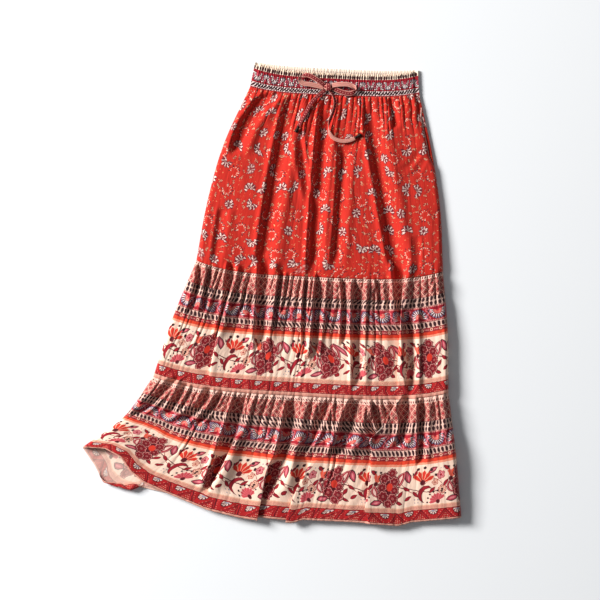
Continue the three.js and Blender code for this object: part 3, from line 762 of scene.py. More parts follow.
# The turn of tape round the knot: how far it leans in metres, and its two half widths as shares of the knot
WRAP_RING = (0.0006, 0.93, 0.9)


def tape_section(width, thickness):
    angle = round_turns(SECTION_POINTS)[0]
    across = 0.5 * width * np.sign(np.cos(angle)) * np.abs(np.cos(angle)) ** SECTION_POWERS[0]
    thick = 0.5 * thickness * np.sign(np.sin(angle)) * np.abs(np.sin(angle)) ** SECTION_POWERS[1]
    return across, thick


def tape(name, path, turn, width, thickness=TIE_THICKNESS, closed=False):
    """A flat tape along a path in metres. turn gives its twist, in degrees, at each point of the path."""
    ahead = np.roll(path, -1, axis=0) - np.roll(path, 1, axis=0)
    if not closed:
        ahead[0], ahead[-1] = path[1] - path[0], path[-1] - path[-2]
    ahead /= np.linalg.norm(ahead, axis=1)[:, None]
    beside = np.cross(ahead, (0, 0, 1) if not closed else (1, 0, 0))
    beside /= np.linalg.norm(beside, axis=1)[:, None]
    above = np.cross(beside, ahead)
    if closed:
        beside, above = above, beside
    turn = np.radians(turn)[:, None]
    flat = beside * np.cos(turn) + above * np.sin(turn)
    face = above * np.cos(turn) - beside * np.sin(turn)
    across, thick = tape_section(width * MM, thickness * MM)
    points = path[:, None] + across[None, :, None] * flat[:, None] + thick[None, :, None] * face[:, None]
    face_place = across + np.where(thick < 0, REVERSE_PLACE, 0)
    cloth = joined(face_place[None, :], running_length(path)[:, None])
    if not closed:
        centre = np.broadcast_to(path[[0, -1]][:, None], (2, SECTION_POINTS, 3))
        first, last = mix(centre[:1], points[:1], 0.5), mix(centre[1:], points[-1:], 0.5)
        points = np.concatenate([first, points, last])
        cloth = np.concatenate([cloth[:1], cloth, cloth[-1:]])
    return grid_piece(name, points, cloth, wrap=True)


def close_ends(piece):
    """Closes the two open rings at the ends of a swept tape."""
    mesh = piece.data
    last = len(mesh.vertices) - SECTION_POINTS
    work = bmesh.new()
    work.from_mesh(mesh)
    work.verts.ensure_lookup_table()
    for ring in (range(SECTION_POINTS)[::-1], range(last, len(mesh.vertices))):
        work.faces.new([work.verts[i] for i in ring])
    bmesh.ops.recalc_face_normals(work, faces=work.faces)
    work.to_mesh(mesh)
    work.free()
    return piece


def turned_over(count, start, end, begins, ends):
    """Twist in degrees along a tape that turns between two shares of its length."""
    return mix(start, end, smooth(begins, ends, np.linspace(0, 1, count)))


for name, cord in cords.items():
    twist = turned_over(len(cord["path"]), *CORD_TABLE[name]["twist"])
    cord["piece"] = close_ends(tape(f"drawstring_{name}", cord["path"], twist, CORD_TABLE[name]["width"]))
print("tape:", [cord["piece"].name for cord in cords.values()])


# %% Knot
def knot_lump():
    """A closed lump with soft creases, and one turn of tape round its middle."""
    turn = round_turns(KNOT_GRID[1])
    level = np.linspace(KNOT_POLE, math.pi - KNOT_POLE, KNOT_GRID[0])[:, None]
    crease = 1 + KNOT_CREASE * np.cos(3 * turn + 2 * level) * np.sin(level)
    ball = joined(
        np.cos(level), np.sin(level) * np.cos(turn) * crease, np.sin(level) * np.sin(turn) * crease)
    centre = in_metres([KNOT])[0]
    size = np.array(KNOT_SIZE) * MM
    points = centre + ball * size * KNOT_SQUEEZE
    lump = grid_piece("drawstring_knot", points, joined(turn * 0.004, level * 0.006), wrap=True)
    angle = round_turns(WRAP_POINTS)[0]
    lean, wide, high = WRAP_RING
    ring = joined(lean * np.sin(angle), wide * size[1] * np.cos(angle), high * size[2] * np.sin(angle))
    path = centre + np.vstack([ring, ring[:1]])
    wrap = tape("drawstring_knot_wrap", path, np.zeros(WRAP_POINTS + 1), *WRAP_SIZE, closed=True)
    return lump, wrap


knot, knot_wrap = knot_lump()
knot_wrap.parent = knot
print("knot:", knot.name)

# %% [markdown]
# # The metal tips
# Each tail ends in a small dark bell, turned from metal, with a bead at its neck and a rolled lip. A
# profile turned round an axis gives all of it, with a hollow mouth.

# %% Tips
# Each point: radius, and how far along the tip it is
TIP_PROFILE = [
    (0.0, 0.0), (2.2, 0.0), (2.6, 0.3), (3.0, 1.0), (3.0, 1.6), (2.6, 2.3), (2.6, 3.0), (2.9, 4.5),
    (3.3, 7.0), (3.8, 10.0), (4.1, 11.6), (4.2, 12.3), (4.0, 12.9), (3.6, 13.0), (3.3, 12.7), (3.1, 11.8),
    (2.4, 10.5), (0.0, 10.2),
]
TIP_SIDES = 48
LEAST_RADIUS = 0.02 * MM


def tip(name, path):
    ahead = (path[-1] - path[-2]) / np.linalg.norm(path[-1] - path[-2])
    beside = np.cross(ahead, (0, 0, 1))
    beside /= np.linalg.norm(beside)
    above = np.cross(beside, ahead)
    turn = round_turns(TIP_SIDES)
    radius, along = (np.array(TIP_PROFILE)[:, k, None] * MM for k in (0, 1))
    radius = np.maximum(radius, LEAST_RADIUS)
    start = path[-1] + ahead * SEAM_GAP * MM
    points = start + along[..., None] * ahead + (radius * np.cos(turn))[..., None] * beside
    points = points + (radius * np.sin(turn))[..., None] * above
    return grid_piece(name, points, joined(turn * 0.003, along), wrap=True)


tips = {side: tip(f"metal_tip_{side}", cords[f"tail_{side}"]["path"]) for side in ("left", "right")}
print("tips:", [piece.name for piece in tips.values()])

# %% [markdown]
# # The pocket
# The side pocket is set into the right side seam. Its mouth pulls the front a little inwards, and a strip
# of the pocket bag shows in it. The front's edge there is bound with a narrow strip of the border print.

# %% Pocket strip and binding
FACING = dict(past=6, reach=30, edge=0.6, low=2.2, rise=0.7, lip=2.4, lip_share=0.3, ripple=0.35)
FACING_CUT = (0.03, 0.14)
FACING_GRID = (60, 16)
BINDING_WIDTH = 3.4
BINDING_GRID = (90, 9)
BINDING_TURN = 0.75
BINDING = dict(short=4, lift=0.6, half_high=1.5, ripple=0.2, ripples=60)
BINDING_CUT = 0.13
BINDING_PLACE = 0.1036
BINDING_THICKNESS = 0.3 * MM


def side_edge(y):
    """How far to the right the side seam of the upper tier lies at a height on the plan."""
    top, bottom = SECTIONS["waist seam"][3], SECTIONS["upper seam"][3]
    share = (top - y) / (top - bottom)
    return cross_line(TIERS["upper"]["sections"], share)["right_x"]


def pocket_facing():
    down = shares(FACING_GRID[0])
    inner = np.linspace(1, 0, FACING_GRID[1])[None, :]
    y = mix(POCKET["top_y"] + FACING["past"], POCKET["bottom_y"] - FACING["past"], down)
    x = side_edge(y) - mix(FACING["edge"], FACING["reach"], inner)
    high = FACING["low"] + FACING["rise"] * (1 - inner) + FACING["ripple"] * np.sin(9 * down + 5 * inner)
    high = high + FACING["lip"] * smooth(FACING["lip_share"], 0, inner)
    u, v = inner * FACING_CUT[0], down * FACING_CUT[1]
    return sheet_piece("pocket_bag_strip", in_metres(joined(x, y, high)), u, v, BACK_THICKNESS)


def pocket_binding():
    """A narrow strip folded round the edge of the pocket's mouth."""
    down = shares(BINDING_GRID[0])
    turn = np.linspace(-BINDING_TURN, BINDING_TURN, BINDING_GRID[1])[None, :] * np.pi
    y = mix(POCKET["top_y"] - BINDING["short"], POCKET["bottom_y"] + BINDING["short"], down)
    edge = side_edge(y) - pocket_inset(np.ones_like(y), y)
    swell = 0.5 + 0.5 * np.sin(np.pi * np.clip(down, 0, 1)) ** 0.4
    x = edge - BINDING_WIDTH / 2 + 0.6 * BINDING_WIDTH * swell * np.cos(turn)
    high = SIDE_SEAM_HEIGHT + BINDING["lift"] + BINDING["half_high"] * np.sin(turn) * swell
    high = high + BINDING["ripple"] * np.sin(BINDING["ripples"] * down)
    u, v = down * BINDING_CUT, BINDING_PLACE + turn / np.pi * 0.003
    return sheet_piece("pocket_binding", in_metres(joined(x, y, high)), u, v, BINDING_THICKNESS)


facing = pocket_facing()
binding = pocket_binding()
print("pocket:", facing.name, binding.name)

# %% [markdown]
# # What each piece stands for
# Each fine piece replaces its plain solid in the model, which is hidden, and rides on the same body.

# %% Hide the plain solids and attach the pieces
def dress(piece, node):
    if node:
        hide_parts(node)
    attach(piece, "root")


for name, slot in {"upper": "red_print", "middle": "border_print", "lower": "border_print"}.items():
    dress(fronts[name], f"{name}_front")
    dress(backs[name], f"{name}_back")
dress(band["front"], "waistband_front")
dress(band["back"], "waistband_back")
dress(facing, "pocket_facing")
dress(binding, None)
dress(knot, "tie_knot")
for side in tips:
    cord = cords[f"tail_{side}"]
    dress(cord["piece"], f"tie_tail_{side}")
    dress(tips[side], f"tie_tip_{side}")
for side in tips:
    cord = cords[f"loop_{side}"]
    dress(cord["piece"], f"tie_loop_{side}")
print("declared", len(fronts) + len(backs) + len(band) + 1, "sheets and", len(cords), "cords")

# %% [markdown]
# # Dyes
# The cloth is printed on cream, with reds, a dark maroon for outlines, an orange stripe, and a little
# grey and lavender. A shader counts light, not the numbers of a colour picker, so a helper turns the
# usual 0 to 255 into light values.

# %% Colours
def dye(red, green, blue):
    def light(value):
        value /= 255
        return value / 12.92 if value <= 0.04045 else ((value + 0.055) / 1.055) ** 2.4
    return (light(red), light(green), light(blue), 1)


CREAM = dye(247, 210, 187)
ROW_PINK = dye(228, 182, 165)
WHITE = dye(236, 218, 212)
BRIGHT_RED = dye(197, 39, 25)
BAND_RED = dye(154, 22, 36)
HEM_RED = dye(174, 26, 28)
MAROON = dye(86, 12, 22)
DARK = dye(54, 20, 26)
ORANGE = dye(218, 62, 36)
SALMON = dye(236, 142, 112)
TAN = dye(232, 176, 146)
PINK = dye(222, 124, 128)
ROSE = dye(178, 62, 78)
PEACH = dye(238, 176, 150)
LAVENDER = dye(140, 126, 148)
GREY = dye(150, 142, 150)
print("cream in light values:", [round(value, 3) for value in CREAM])

# %% [markdown]
# # Drawing with numbers
# A print has no picture file here. Each motif is a small sum: how far a point of the cloth is from the
# middle of a petal, a leaf or a line. Written node by node that is long, so this small class lets a sum
# be written as Python, and adds the Math nodes itself. Places and sizes are in millimetres of flat cloth.
# Every node comes from one helper, which links what is a socket and sets what is a plain value.

# %% Nodes, a number over the cloth, and paint
# The sockets of a Mix node that are for colours: two that go in, and what comes out
MIX_BASE, MIX_COLOUR, MIX_RESULT = 6, 7, 2


def add_node(tree, kind, inputs, **settings):
    """Adds a node with its settings. Each input gets a link from a socket or a Field, or a plain value."""
    node = tree.nodes.new(kind)
    for name, value in settings.items():
        setattr(node, name, value)
    for name, value in inputs.items():
        if isinstance(value, Field):
            value = value.socket
        if isinstance(value, bpy.types.NodeSocket):
            tree.links.new(value, node.inputs[name])
        else:
            node.inputs[name].default_value = value
    return node


class Field:
    """A number that changes over the cloth. Sums on it add Math nodes to its tree."""

    def __init__(self, socket):
        self.socket = socket

    def do(self, operation, *others, clamp=False):
        inputs = dict(enumerate((self, *others)))
        node = add_node(self.socket.id_data, "ShaderNodeMath", inputs, operation=operation, use_clamp=clamp)
        return Field(node.outputs[0])

    def __add__(self, other):
        return self.do("ADD", other)

    def __sub__(self, other):
        return self.do("SUBTRACT", other)

    def __mul__(self, other):
        return self.do("MULTIPLY", other)

    def __truediv__(self, number):
        return self.do("MULTIPLY", 1 / number)

    def __abs__(self):
        return self.do("ABSOLUTE")

    def to_and_fro(self, far):
        """Runs up from 0 to far and down again, over and over."""
        return self.do("PINGPONG", far)

    def over(self, limit):
        """1 where this is over the limit and 0 under it, with a hard edge."""
        return self.do("GREATER_THAN", limit)

    def under(self, limit, soft=0.3):
        """1 where this is under the limit and 0 above it, with an edge that is soft wide."""
        return self.do("MULTIPLY_ADD", -1 / soft, limit / soft + 0.5, clamp=True)

    def between(self, low, high, soft=0.3):
        return abs(self - (low + high) / 2).under((high - low) / 2, soft)


def parts_of(vector):
    node = add_node(vector.id_data, "ShaderNodeSeparateXYZ", {0: vector})
    return Field(node.outputs[0]), Field(node.outputs[1])


def vector_of(x, y):
    return add_node(x.socket.id_data, "ShaderNodeCombineXYZ", {0: x, 1: y}).outputs[0]


def length_of(vector):
    node = add_node(vector.id_data, "ShaderNodeVectorMath", {0: vector}, operation="LENGTH")
    return Field(node.outputs["Value"])


def spot(x, y):
    """Distance from the place where both numbers are 0."""
    return length_of(vector_of(x, y))


def placed(vector, x, y, turn=0.0, wide=1.0, long=1.0):
    """The cloth seen from a motif: its middle at 0, turned, and 1 at its half width and half length."""
    inputs = {0: vector, "Location": (x, y, 0), "Rotation": (0, 0, turn), "Scale": (wide, long, 1)}
    return add_node(vector.id_data, "ShaderNodeMapping", inputs, vector_type="TEXTURE").outputs[0]


def paint(base, *coats):
    """Lays colours over the base, one after another, each where its mask is 1."""
    for mask, colour in coats:
        inputs = {"Factor": mask, MIX_BASE: base, MIX_COLOUR: colour}
        node = add_node(mask.socket.id_data, "ShaderNodeMix", inputs, data_type="RGBA")
        base = node.outputs[MIX_RESULT]
    return base


def hand_drawn(vector, size, amount):
    """The cloth with its places shifted a little, in patches of that size, so that lines aren't perfect."""
    tree = vector.id_data
    noise = add_node(tree, "ShaderNodeTexNoise", {0: vector, "Scale": 1 / size, "Detail": 1},
                     noise_dimensions="2D")
    inputs = {0: noise.outputs["Color"], 1: (amount, amount, 0), 2: (-amount / 2, -amount / 2, 0)}
    shift = add_node(tree, "ShaderNodeVectorMath", inputs, operation="MULTIPLY_ADD")
    moved = add_node(tree, "ShaderNodeVectorMath", {0: vector, 1: shift.outputs[0]}, operation="ADD")
    return moved.outputs[0]


def row_ground(down, stops, reach):
    """Plain ground colours of the rows of a border, from a list of (where the row starts, colour)."""
    ramp = add_node(down.socket.id_data, "ShaderNodeValToRGB", {0: down / reach})
    ramp.color_ramp.interpolation = "CONSTANT"
    elements = ramp.color_ramp.elements
    elements[0].color = stops[0][1]
    elements[1].position, elements[1].color = stops[1][0] / reach, stops[1][1]
    for start, colour in stops[2:]:
        elements.new(start / reach).color = colour
    return ramp.outputs[0]


print("a mix of colours comes out of socket", MIX_RESULT)

# %% [markdown]
# # Node groups
# What several materials share is a node group with named inputs and outputs: each print, and the crinkle
# of the cloth. A helper makes the empty group and its sockets. In Blender 4.5 sockets belong to the
# group's interface. A second helper wraps what draws a print: it takes a place and gives a colour.

# %% Group helpers
def new_group(name, inputs, outputs):
    tree = bpy.data.node_groups.new(name, "ShaderNodeTree")
    for way, sockets in (("INPUT", inputs), ("OUTPUT", outputs)):
        for label, kind in sockets.items():
            tree.interface.new_socket(name=label, in_out=way, socket_type="NodeSocket" + kind)
    return tree, tree.nodes.new("NodeGroupInput"), tree.nodes.new("NodeGroupOutput")


def print_group(name, draw):
    tree, start, end = new_group(name, {"Cloth": "Vector"}, {"Color": "Color"})
    tree.links.new(draw(start.outputs["Cloth"]), end.inputs["Color"])
    print(tree.name, len(tree.nodes), "nodes")
    return tree


print("groups so far:", len(bpy.data.node_groups))

# %% [markdown]
# # Motifs
# Fans, leaves and flowers turn up in all the prints. A fan is drawn in turn and distance: how far a point
# is from the middle line of the nearest petal. A leaf is the space between two bows.

# %% Motif helpers
TURN_EDGE = 0.001


def fan(place, petals, spread):
    """Distance from a fan's root, 0 to 1 from a petal's middle line to its edge, and turn from upright."""
    away = length_of(place)
    x, y = parts_of(place)
    turn = x.do("ARCTAN2", y)
    half = spread / petals
    shifted = turn + half if petals % 2 == 0 else turn
    return away, shifted.to_and_fro(half) / half, abs(turn)


def leaf(place, bend=0.0):
    """Under 1 inside a leaf that lies along x."""
    x, y = parts_of(place)
    along = x * x
    if bend:
        y = along.do("MULTIPLY_ADD", bend, y)
    return abs(y) + along


def drops(across, down, pitch, middle, half_wide, half_long):
    """Under 1 inside a row of upright drops."""
    return spot(across.to_and_fro(pitch / 2) / half_wide, (down - middle) / half_long)


def turned_in_turn(across, pitch):
    """Runs from -half a pitch to half a pitch over each motif, and 1 or -1 from one motif to the next."""
    half_turn = (across / (2 * pitch)).do("FRACT").under(0.5, TURN_EDGE) * 2 - 1
    return (across / pitch).do("FRACT") * pitch - pitch / 2, half_turn


print("motif helpers:", [helper.__name__ for helper in (fan, leaf, drops, turned_in_turn)])

# %% [markdown]
# # The scattered print
# The upper tier is red, with small half-open flowers, dotted crescents, sprigs and a fine confetti of
# dashes between them. Each kind is scattered by the cells of a Voronoi texture: a cell gives a middle, and
# a random colour that turns the motif. A motif leaves room for the next by its own mask.

# %% Scattered print group
FLOWERS = dict(cell=36, size=12.4, randomness=0.66)
SPRIGS = dict(cell=15, size=5.2, randomness=0.8)
DASHES = dict(cell=7, size=1.0, randomness=1.0)


def scattered(vector, cell, size, randomness):
    """The cloth seen from the nearest scattered motif, turned at random, and the cell's random number."""
    tree = vector.id_data
    inputs = {0: vector, "Scale": 1 / cell, "Randomness": randomness}
    cells = add_node(tree, "ShaderNodeTexVoronoi", inputs, voronoi_dimensions="2D", feature="F1")
    inputs = {0: vector, 1: cells.outputs["Position"]}
    from_middle = add_node(tree, "ShaderNodeVectorMath", inputs, operation="SUBTRACT")
    random = add_node(tree, "ShaderNodeSeparateColor", {0: cells.outputs["Color"]})
    inputs = {0: from_middle.outputs[0], "Angle": Field(random.outputs[0]) * (2 * math.pi)}
    rotate = add_node(tree, "ShaderNodeVectorRotate", inputs, rotation_type="Z_AXIS")
    return placed(rotate.outputs[0], 0, 0, 0, size, size), Field(random.outputs[1])


def scattered_print(cloth):
    cloth = hand_drawn(cloth, 4, 6.5)
    place, kind = scattered(cloth, **FLOWERS)
    away, beside, turn = fan(placed(place, 0, -0.3), 6, 2.1)
    is_fan = kind.under(0.32, 0.01)
    blob = (away + beside * beside * 0.16).under(1.04, 0.04) * turn.under(2.15, 0.05) * is_fan
    petal = (away + beside * beside * 0.3).under(0.93, 0.1) * beside.under(0.34, 0.3) * turn.under(2.1, 0.05)
    petal = petal * away.over(0.2) * is_fan
    open_away, open_beside, _ = fan(place, 7, math.pi)
    is_open = kind.between(0.32, 0.5, 0.01)
    open_shape = open_away + open_beside * open_beside * 0.16
    open_petal = open_shape.between(0.24, 0.66, 0.1) * open_beside.under(0.4, 0.3) * is_open
    ring, ring_beside, ring_turn = fan(place, 12, math.pi)
    crescent = ring_turn.under(2.5, 0.05) * kind.over(0.5)
    pale_dot = spot((ring - 0.68) * 6.5, ring_beside * 2.2).under(0.9, 0.3) * crescent
    dark_dot = spot((ring - 0.86) * 5.5, ring_beside * 1.9).under(1.0, 0.3) * crescent
    small, small_kind = scattered(cloth, **SPRIGS)
    small_away, small_beside, small_turn = fan(placed(small, 0, -0.5), 4, 1.3)
    room = ring.over(1.12)
    sprig = small_turn.under(1.3, 0.05) * room * small_kind.under(0.7, 0.01)
    sprig_edge = (small_away + small_beside * small_beside * 0.3).under(1.18, 0.1) * sprig
    sprig_petal = (small_away + small_beside * small_beside * 0.5).under(0.95, 0.1) * sprig
    sprig_petal = sprig_petal * small_beside.under(0.45, 0.2) * small_away.over(0.4)
    dash, dash_kind = scattered(cloth, **DASHES)
    dash_shape = leaf(placed(dash, 0, 0, 0, 1.3, 0.5)).under(1, 0.5) * room
    dash_shape = dash_shape * dash_kind.under(0.6, 0.01) * small_away.over(1.15)
    return paint(
        BRIGHT_RED, (dash_shape, dye(238, 166, 112)),
        (sprig_edge, dye(150, 30, 30)), (sprig_petal, dye(236, 176, 136)),
        (dark_dot, dye(104, 26, 34)), (pale_dot, dye(236, 184, 160)),
        (blob, dye(112, 30, 38)), (petal, dye(240, 204, 190)),
        (open_shape.under(0.8, 0.05) * is_open, dye(116, 28, 38)), (open_petal, dye(240, 204, 190)))


scattered_group = print_group("scattered flowers", scattered_print)

# %% [markdown]
# # The border print
# The two lower tiers are printed with rows from the seam down: a lattice, two rows of dark drops, a row
# of fan flowers that point up and down in turn, drops again, a row of rings, an orange stripe, a wide
# cream band of flowers on a vine, a hatched line, a red hem band of triangles and a pale edge. The rows
# are in millimetres from the seam, and each repeats along the cloth at its own pitch.

# %% Border rows
BORDER_REACH = 260
BORDER_ROWS = [
    (0, ROW_PINK), (6, MAROON), (40, ROW_PINK), (58, BAND_RED), (88, ROW_PINK), (100, dye(142, 34, 38)),
    (107, ORANGE), (113, SALMON), (120, CREAM), (197, TAN), (206, HEM_RED), (225, dye(218, 152, 132)),
    (228, dye(206, 142, 124)),
]
OUTLINES = (40, 58, 88, 100, 206, 225)
LATTICE_PITCH = 15
FAN_PITCH = 36
FAN_MIDDLE = 73.5
RING_MIDDLE = 103.6
TRIANGLE_WIDTH = 24


def lattice_row(across, down, colour):
    """A row of drops, then diamonds as wide as the pitch, each with a smaller one and a spot in it."""
    inside = down.between(6, 40)
    rising, falling = (along / LATTICE_PITCH for along in (across + down, across - down))
    line = rising.to_and_fro(0.5).do("MINIMUM", falling.to_and_fro(0.5))
    return paint(
        colour, (line.between(0.2, 0.3, 0.05) * inside, dye(214, 126, 114)),
        (line.under(0.09, 0.05) * inside, dye(230, 158, 140)), (line.over(0.38) * inside, dye(186, 36, 40)),
        (drops(across, down, 6, 3, 1.5, 2.6).under(1, 0.3), MAROON),
        ((across.to_and_fro(3) * 1.2 + down).between(5.5, 8), ROW_PINK))


def drop_rows(across, down, colour):
    for middle, long in ((44.6, 4.2), (53.6, 4.2), (94, 5.0)):
        colour = paint(colour, (drops(across, down, 8, middle, 2.8, long).under(1, 0.2), DARK))
    scallop = (across.to_and_fro(4.5) * -0.5 + down).between(98.5, 101)
    return paint(colour, (scallop, BAND_RED))


def fan_row(across, down, colour):
    """Fan flowers, every other one upside down, with small flowers in the gaps and beads along both edges."""
    inside = down.between(59.4, 87.6)
    x, half_turn = turned_in_turn(across, FAN_PITCH)
    y = (down - FAN_MIDDLE) * half_turn
    away, beside, turn = fan(vector_of(x, y + 5.5), 11, 1.9)
    opened = turn.under(1.9, 0.05) * inside
    gap_x = abs(x) - FAN_PITCH / 2
    gap_away, gap_beside, _ = fan(vector_of(gap_x, y + 6), 5, math.pi)
    edge = abs(down - 73.2) - 13.2
    return paint(
        colour, (away.under(17.2, 0.6) * opened, MAROON),
        (away.between(12, 16.4, 0.5) * opened * beside.under(0.55, 0.3), LAVENDER),
        (away.between(7.5, 13.4, 0.5) * opened * beside.under(0.4, 0.3), WHITE),
        (away.under(7.5, 0.6) * opened, dye(206, 50, 56)),
        (away.between(2.8, 6.4, 0.6) * opened * beside.under(0.35, 0.3), PEACH),
        (gap_away.under(6.5, 0.5) * gap_beside.under(0.6, 0.2) * inside, PINK),
        (gap_away.under(2.4, 0.5) * inside, DARK),
        (spot(gap_x, y - 8).between(1.6, 3.8, 0.4) * inside, dye(206, 96, 100)),
        (spot(across.to_and_fro(1.7), edge).under(1.2, 0.3), dye(214, 136, 128)))


def ring_row(across, down, colour):
    x = across.to_and_fro(9)
    ring = spot(x, down - RING_MIDDLE).between(1.5, 3.1, 0.5)
    dots = spot(x.to_and_fro(1.5), down - RING_MIDDLE).under(0.95)
    return paint(colour, (ring, PEACH), (dots * x.over(5.2), dye(226, 150, 140)))


def hem_rows(across, down, colour):
    """The hatched line, the red band with dotted triangles and half flowers in it, and the lines below."""
    hatch = across.to_and_fro(0.9).under(0.34, 0.2) * down.between(199, 205)
    inside = down.between(206.6, 224.6)
    x = across.to_and_fro(TRIANGLE_WIDTH)
    edge = x * 1.15 - down + 207
    dots = spot(across.to_and_fro(1.8), down.to_and_fro(1.8))
    away, beside, turn = fan(vector_of(x - TRIANGLE_WIDTH, down - 208), 5, 1.65)
    flower = turn.under(1.65, 0.05) * inside
    lines = down.between(229.5, 231) * across.to_and_fro(1.6).under(0.7, 0.2)
    return paint(
        colour, (hatch, ROSE),
        (edge.between(-1.2, 1.2) * inside, MAROON), (edge.between(-5.4, -4.2) * inside, MAROON),
        (dots.under(0.7, 0.3) * edge.between(-30, -6.5, 0.4) * inside, PEACH),
        (dots.under(0.55, 0.3) * edge.between(3, 6.5, 0.4) * inside, PEACH),
        (away.under(9.6, 0.4) * flower, MAROON),
        (away.under(8.2, 0.4) * beside.under(0.56, 0.3) * flower, dye(236, 200, 186)),
        (away.under(3.6, 0.6) * flower, GREY), (lines, dye(206, 130, 110)))


print("border rows:", len(BORDER_ROWS))

# %% [markdown]
# # The flower band
# The cream band is a garden on a vine: a large scalloped blossom, paisley leaves, a fan-shaped lily, a
# curved horn leaf, small open flowers, hollow leaves and clusters of dots. The layout is made up for this
# skirt and repeats every 150 mm. Each kind has a helper that paints it on what is there already, and a
# table lists the motifs in the order of painting.

# %% Flower band helpers
GARDEN_REPEAT = 150
GARDEN_TOP = 117
GARDEN_BOTTOM = 197
# Each row: place beside and below the middle of the blossom, and size
BLOSSOM = [
    (5, -29, 10), (-9, -19, 12), (11, -13, 11), (-12, -1, 11),
    (13, 4, 10), (-9, 16, 13), (10, 20, 12), (0, 30, 10),
]
# Each row: place in the garden, and turn
GARDEN_LEAVES = [
    (8, 58, 0.9), (41, 52, -0.7), (68, 40, 2.2), (128, 54, -0.9), (140, 45, 0.6),
    (6, 18, -1.1), (124, 70, 0.4), (143, 64, -0.5), (70, 12, 0.6),
]


def paint_leaf(garden, colour, x, y, turn, size, fill, hollow=False):
    shape = leaf(placed(garden, x, y, turn, *size))
    outline = DARK if hollow else MAROON
    colour = paint(colour, (shape.under(1.0, 0.1), outline), (shape.under(0.72, 0.1), fill))
    return paint(colour, (shape.under(0.3, 0.1), PINK)) if hollow else colour


def paint_paisley(garden, colour, x, y, turn, size):
    shape = leaf(placed(garden, x, y, turn, *size), 0.55)
    fills = {1.0: MAROON, 0.86: dye(204, 112, 112), 0.66: BAND_RED, 0.34: dye(236, 190, 176)}
    return paint(colour, *((shape.under(limit, 0.08), fill) for limit, fill in fills.items()))


def paint_flower(garden, colour, x, y, size, petals, fill, heart):
    away, beside, _ = fan(placed(garden, x, y, 0.3, size, size), petals, math.pi)
    shape = away + beside * beside * 0.28
    return paint(
        colour, (shape.under(1.0, 0.1), BAND_RED), (shape.under(0.84, 0.1), fill),
        (away.between(0.45, 0.62, 0.1) * beside.under(0.3, 0.2), DARK), (away.under(0.26, 0.1), heart))


def paint_lily(garden, colour, x, y, turn, size, petals, spread, fill, gap):
    away, beside, lean = fan(placed(garden, x, y, turn, size, -size), petals, spread)
    opened = lean.under(spread * 1.02, 0.05)
    petal = (away + beside * 0.3).under(1.0, 0.06) * beside.under(0.85, 0.15) * opened
    dots = spot((away - 1.16) * 9, beside * 2.2).under(1, 0.3) * lean.under(spread * 1.05, 0.05)
    return paint(
        colour, (away.under(0.86, 0.05) * opened, gap), (petal, fill),
        (away.under(0.22, 0.06), MAROON), (dots, DARK))


def paint_horn(garden, colour, x, y, size, fill):
    outer = length_of(placed(garden, x, y, 0.3, size, size * 1.15))
    inner = length_of(placed(garden, x + 0.42 * size, y + 0.3 * size, 0.3, size * 0.9, size * 1.05))
    shape = outer.do("MAXIMUM", inner * -1 + 2)
    return paint(colour, (shape.under(1.0, 0.06), MAROON), (shape.under(0.92, 0.06), fill))


def paint_blossom(garden, colour, x, y):
    """The large blossom: small scalloped flowers crowded on a dark ground."""
    colour = paint(colour, (length_of(placed(garden, x, y, 0.08, 17, 34)).under(1, 0.05), MAROON))
    for beside, below, size in BLOSSOM:
        away, lobe, _ = fan(placed(garden, x + beside, y + below, 0.4 * below, size, size), 7, math.pi)
        shape = away + lobe * lobe * 0.2
        colour = paint(
            colour, (shape.under(1.0, 0.08), MAROON), (shape.between(0.72, 0.84, 0.06), dye(220, 130, 122)),
            (shape.between(0.38, 0.62, 0.06), dye(140, 18, 30)),
            (shape.between(0.12, 0.24, 0.05), dye(214, 110, 104)))
    return colour


# Each row: the helper, and what it takes: the place in the garden first
GARDEN = [
    *((paint_leaf, *place, (8.5, 3.6), BAND_RED) for place in GARDEN_LEAVES),
    (paint_leaf, 41, 13, -0.5, (11, 5), ROSE, True),
    (paint_leaf, 141, 22, 1.2, (14, 7), ROSE, True),
    (paint_leaf, 80, 71, -0.2, (13, 6), ROSE, True),
    (paint_flower, 58, 24, 9, 5, PINK, BAND_RED),
    (paint_flower, 47, 37, 6.5, 5, PEACH, BAND_RED),
    (paint_flower, 61, 52, 9, 6, PEACH, DARK),
    (paint_paisley, 126, 24, 1.9, (16, 8)),
    (paint_paisley, 77, 50, 1.2, (14, 7)),
    (paint_lily, 22, 36, 0.1, 25, 5, 1.25, dye(206, 48, 32), dye(244, 190, 158)),
    (paint_lily, 78, 34, 0.3, 20, 3, 0.7, dye(220, 84, 56), PINK),
    (paint_lily, 52, 75, -0.4, 18, 7, 1.4, dye(196, 70, 76), PINK),
    (paint_horn, 28, 59, 15, BAND_RED),
    (paint_blossom, 103, 42),
]
print("motifs in the garden:", len(GARDEN))


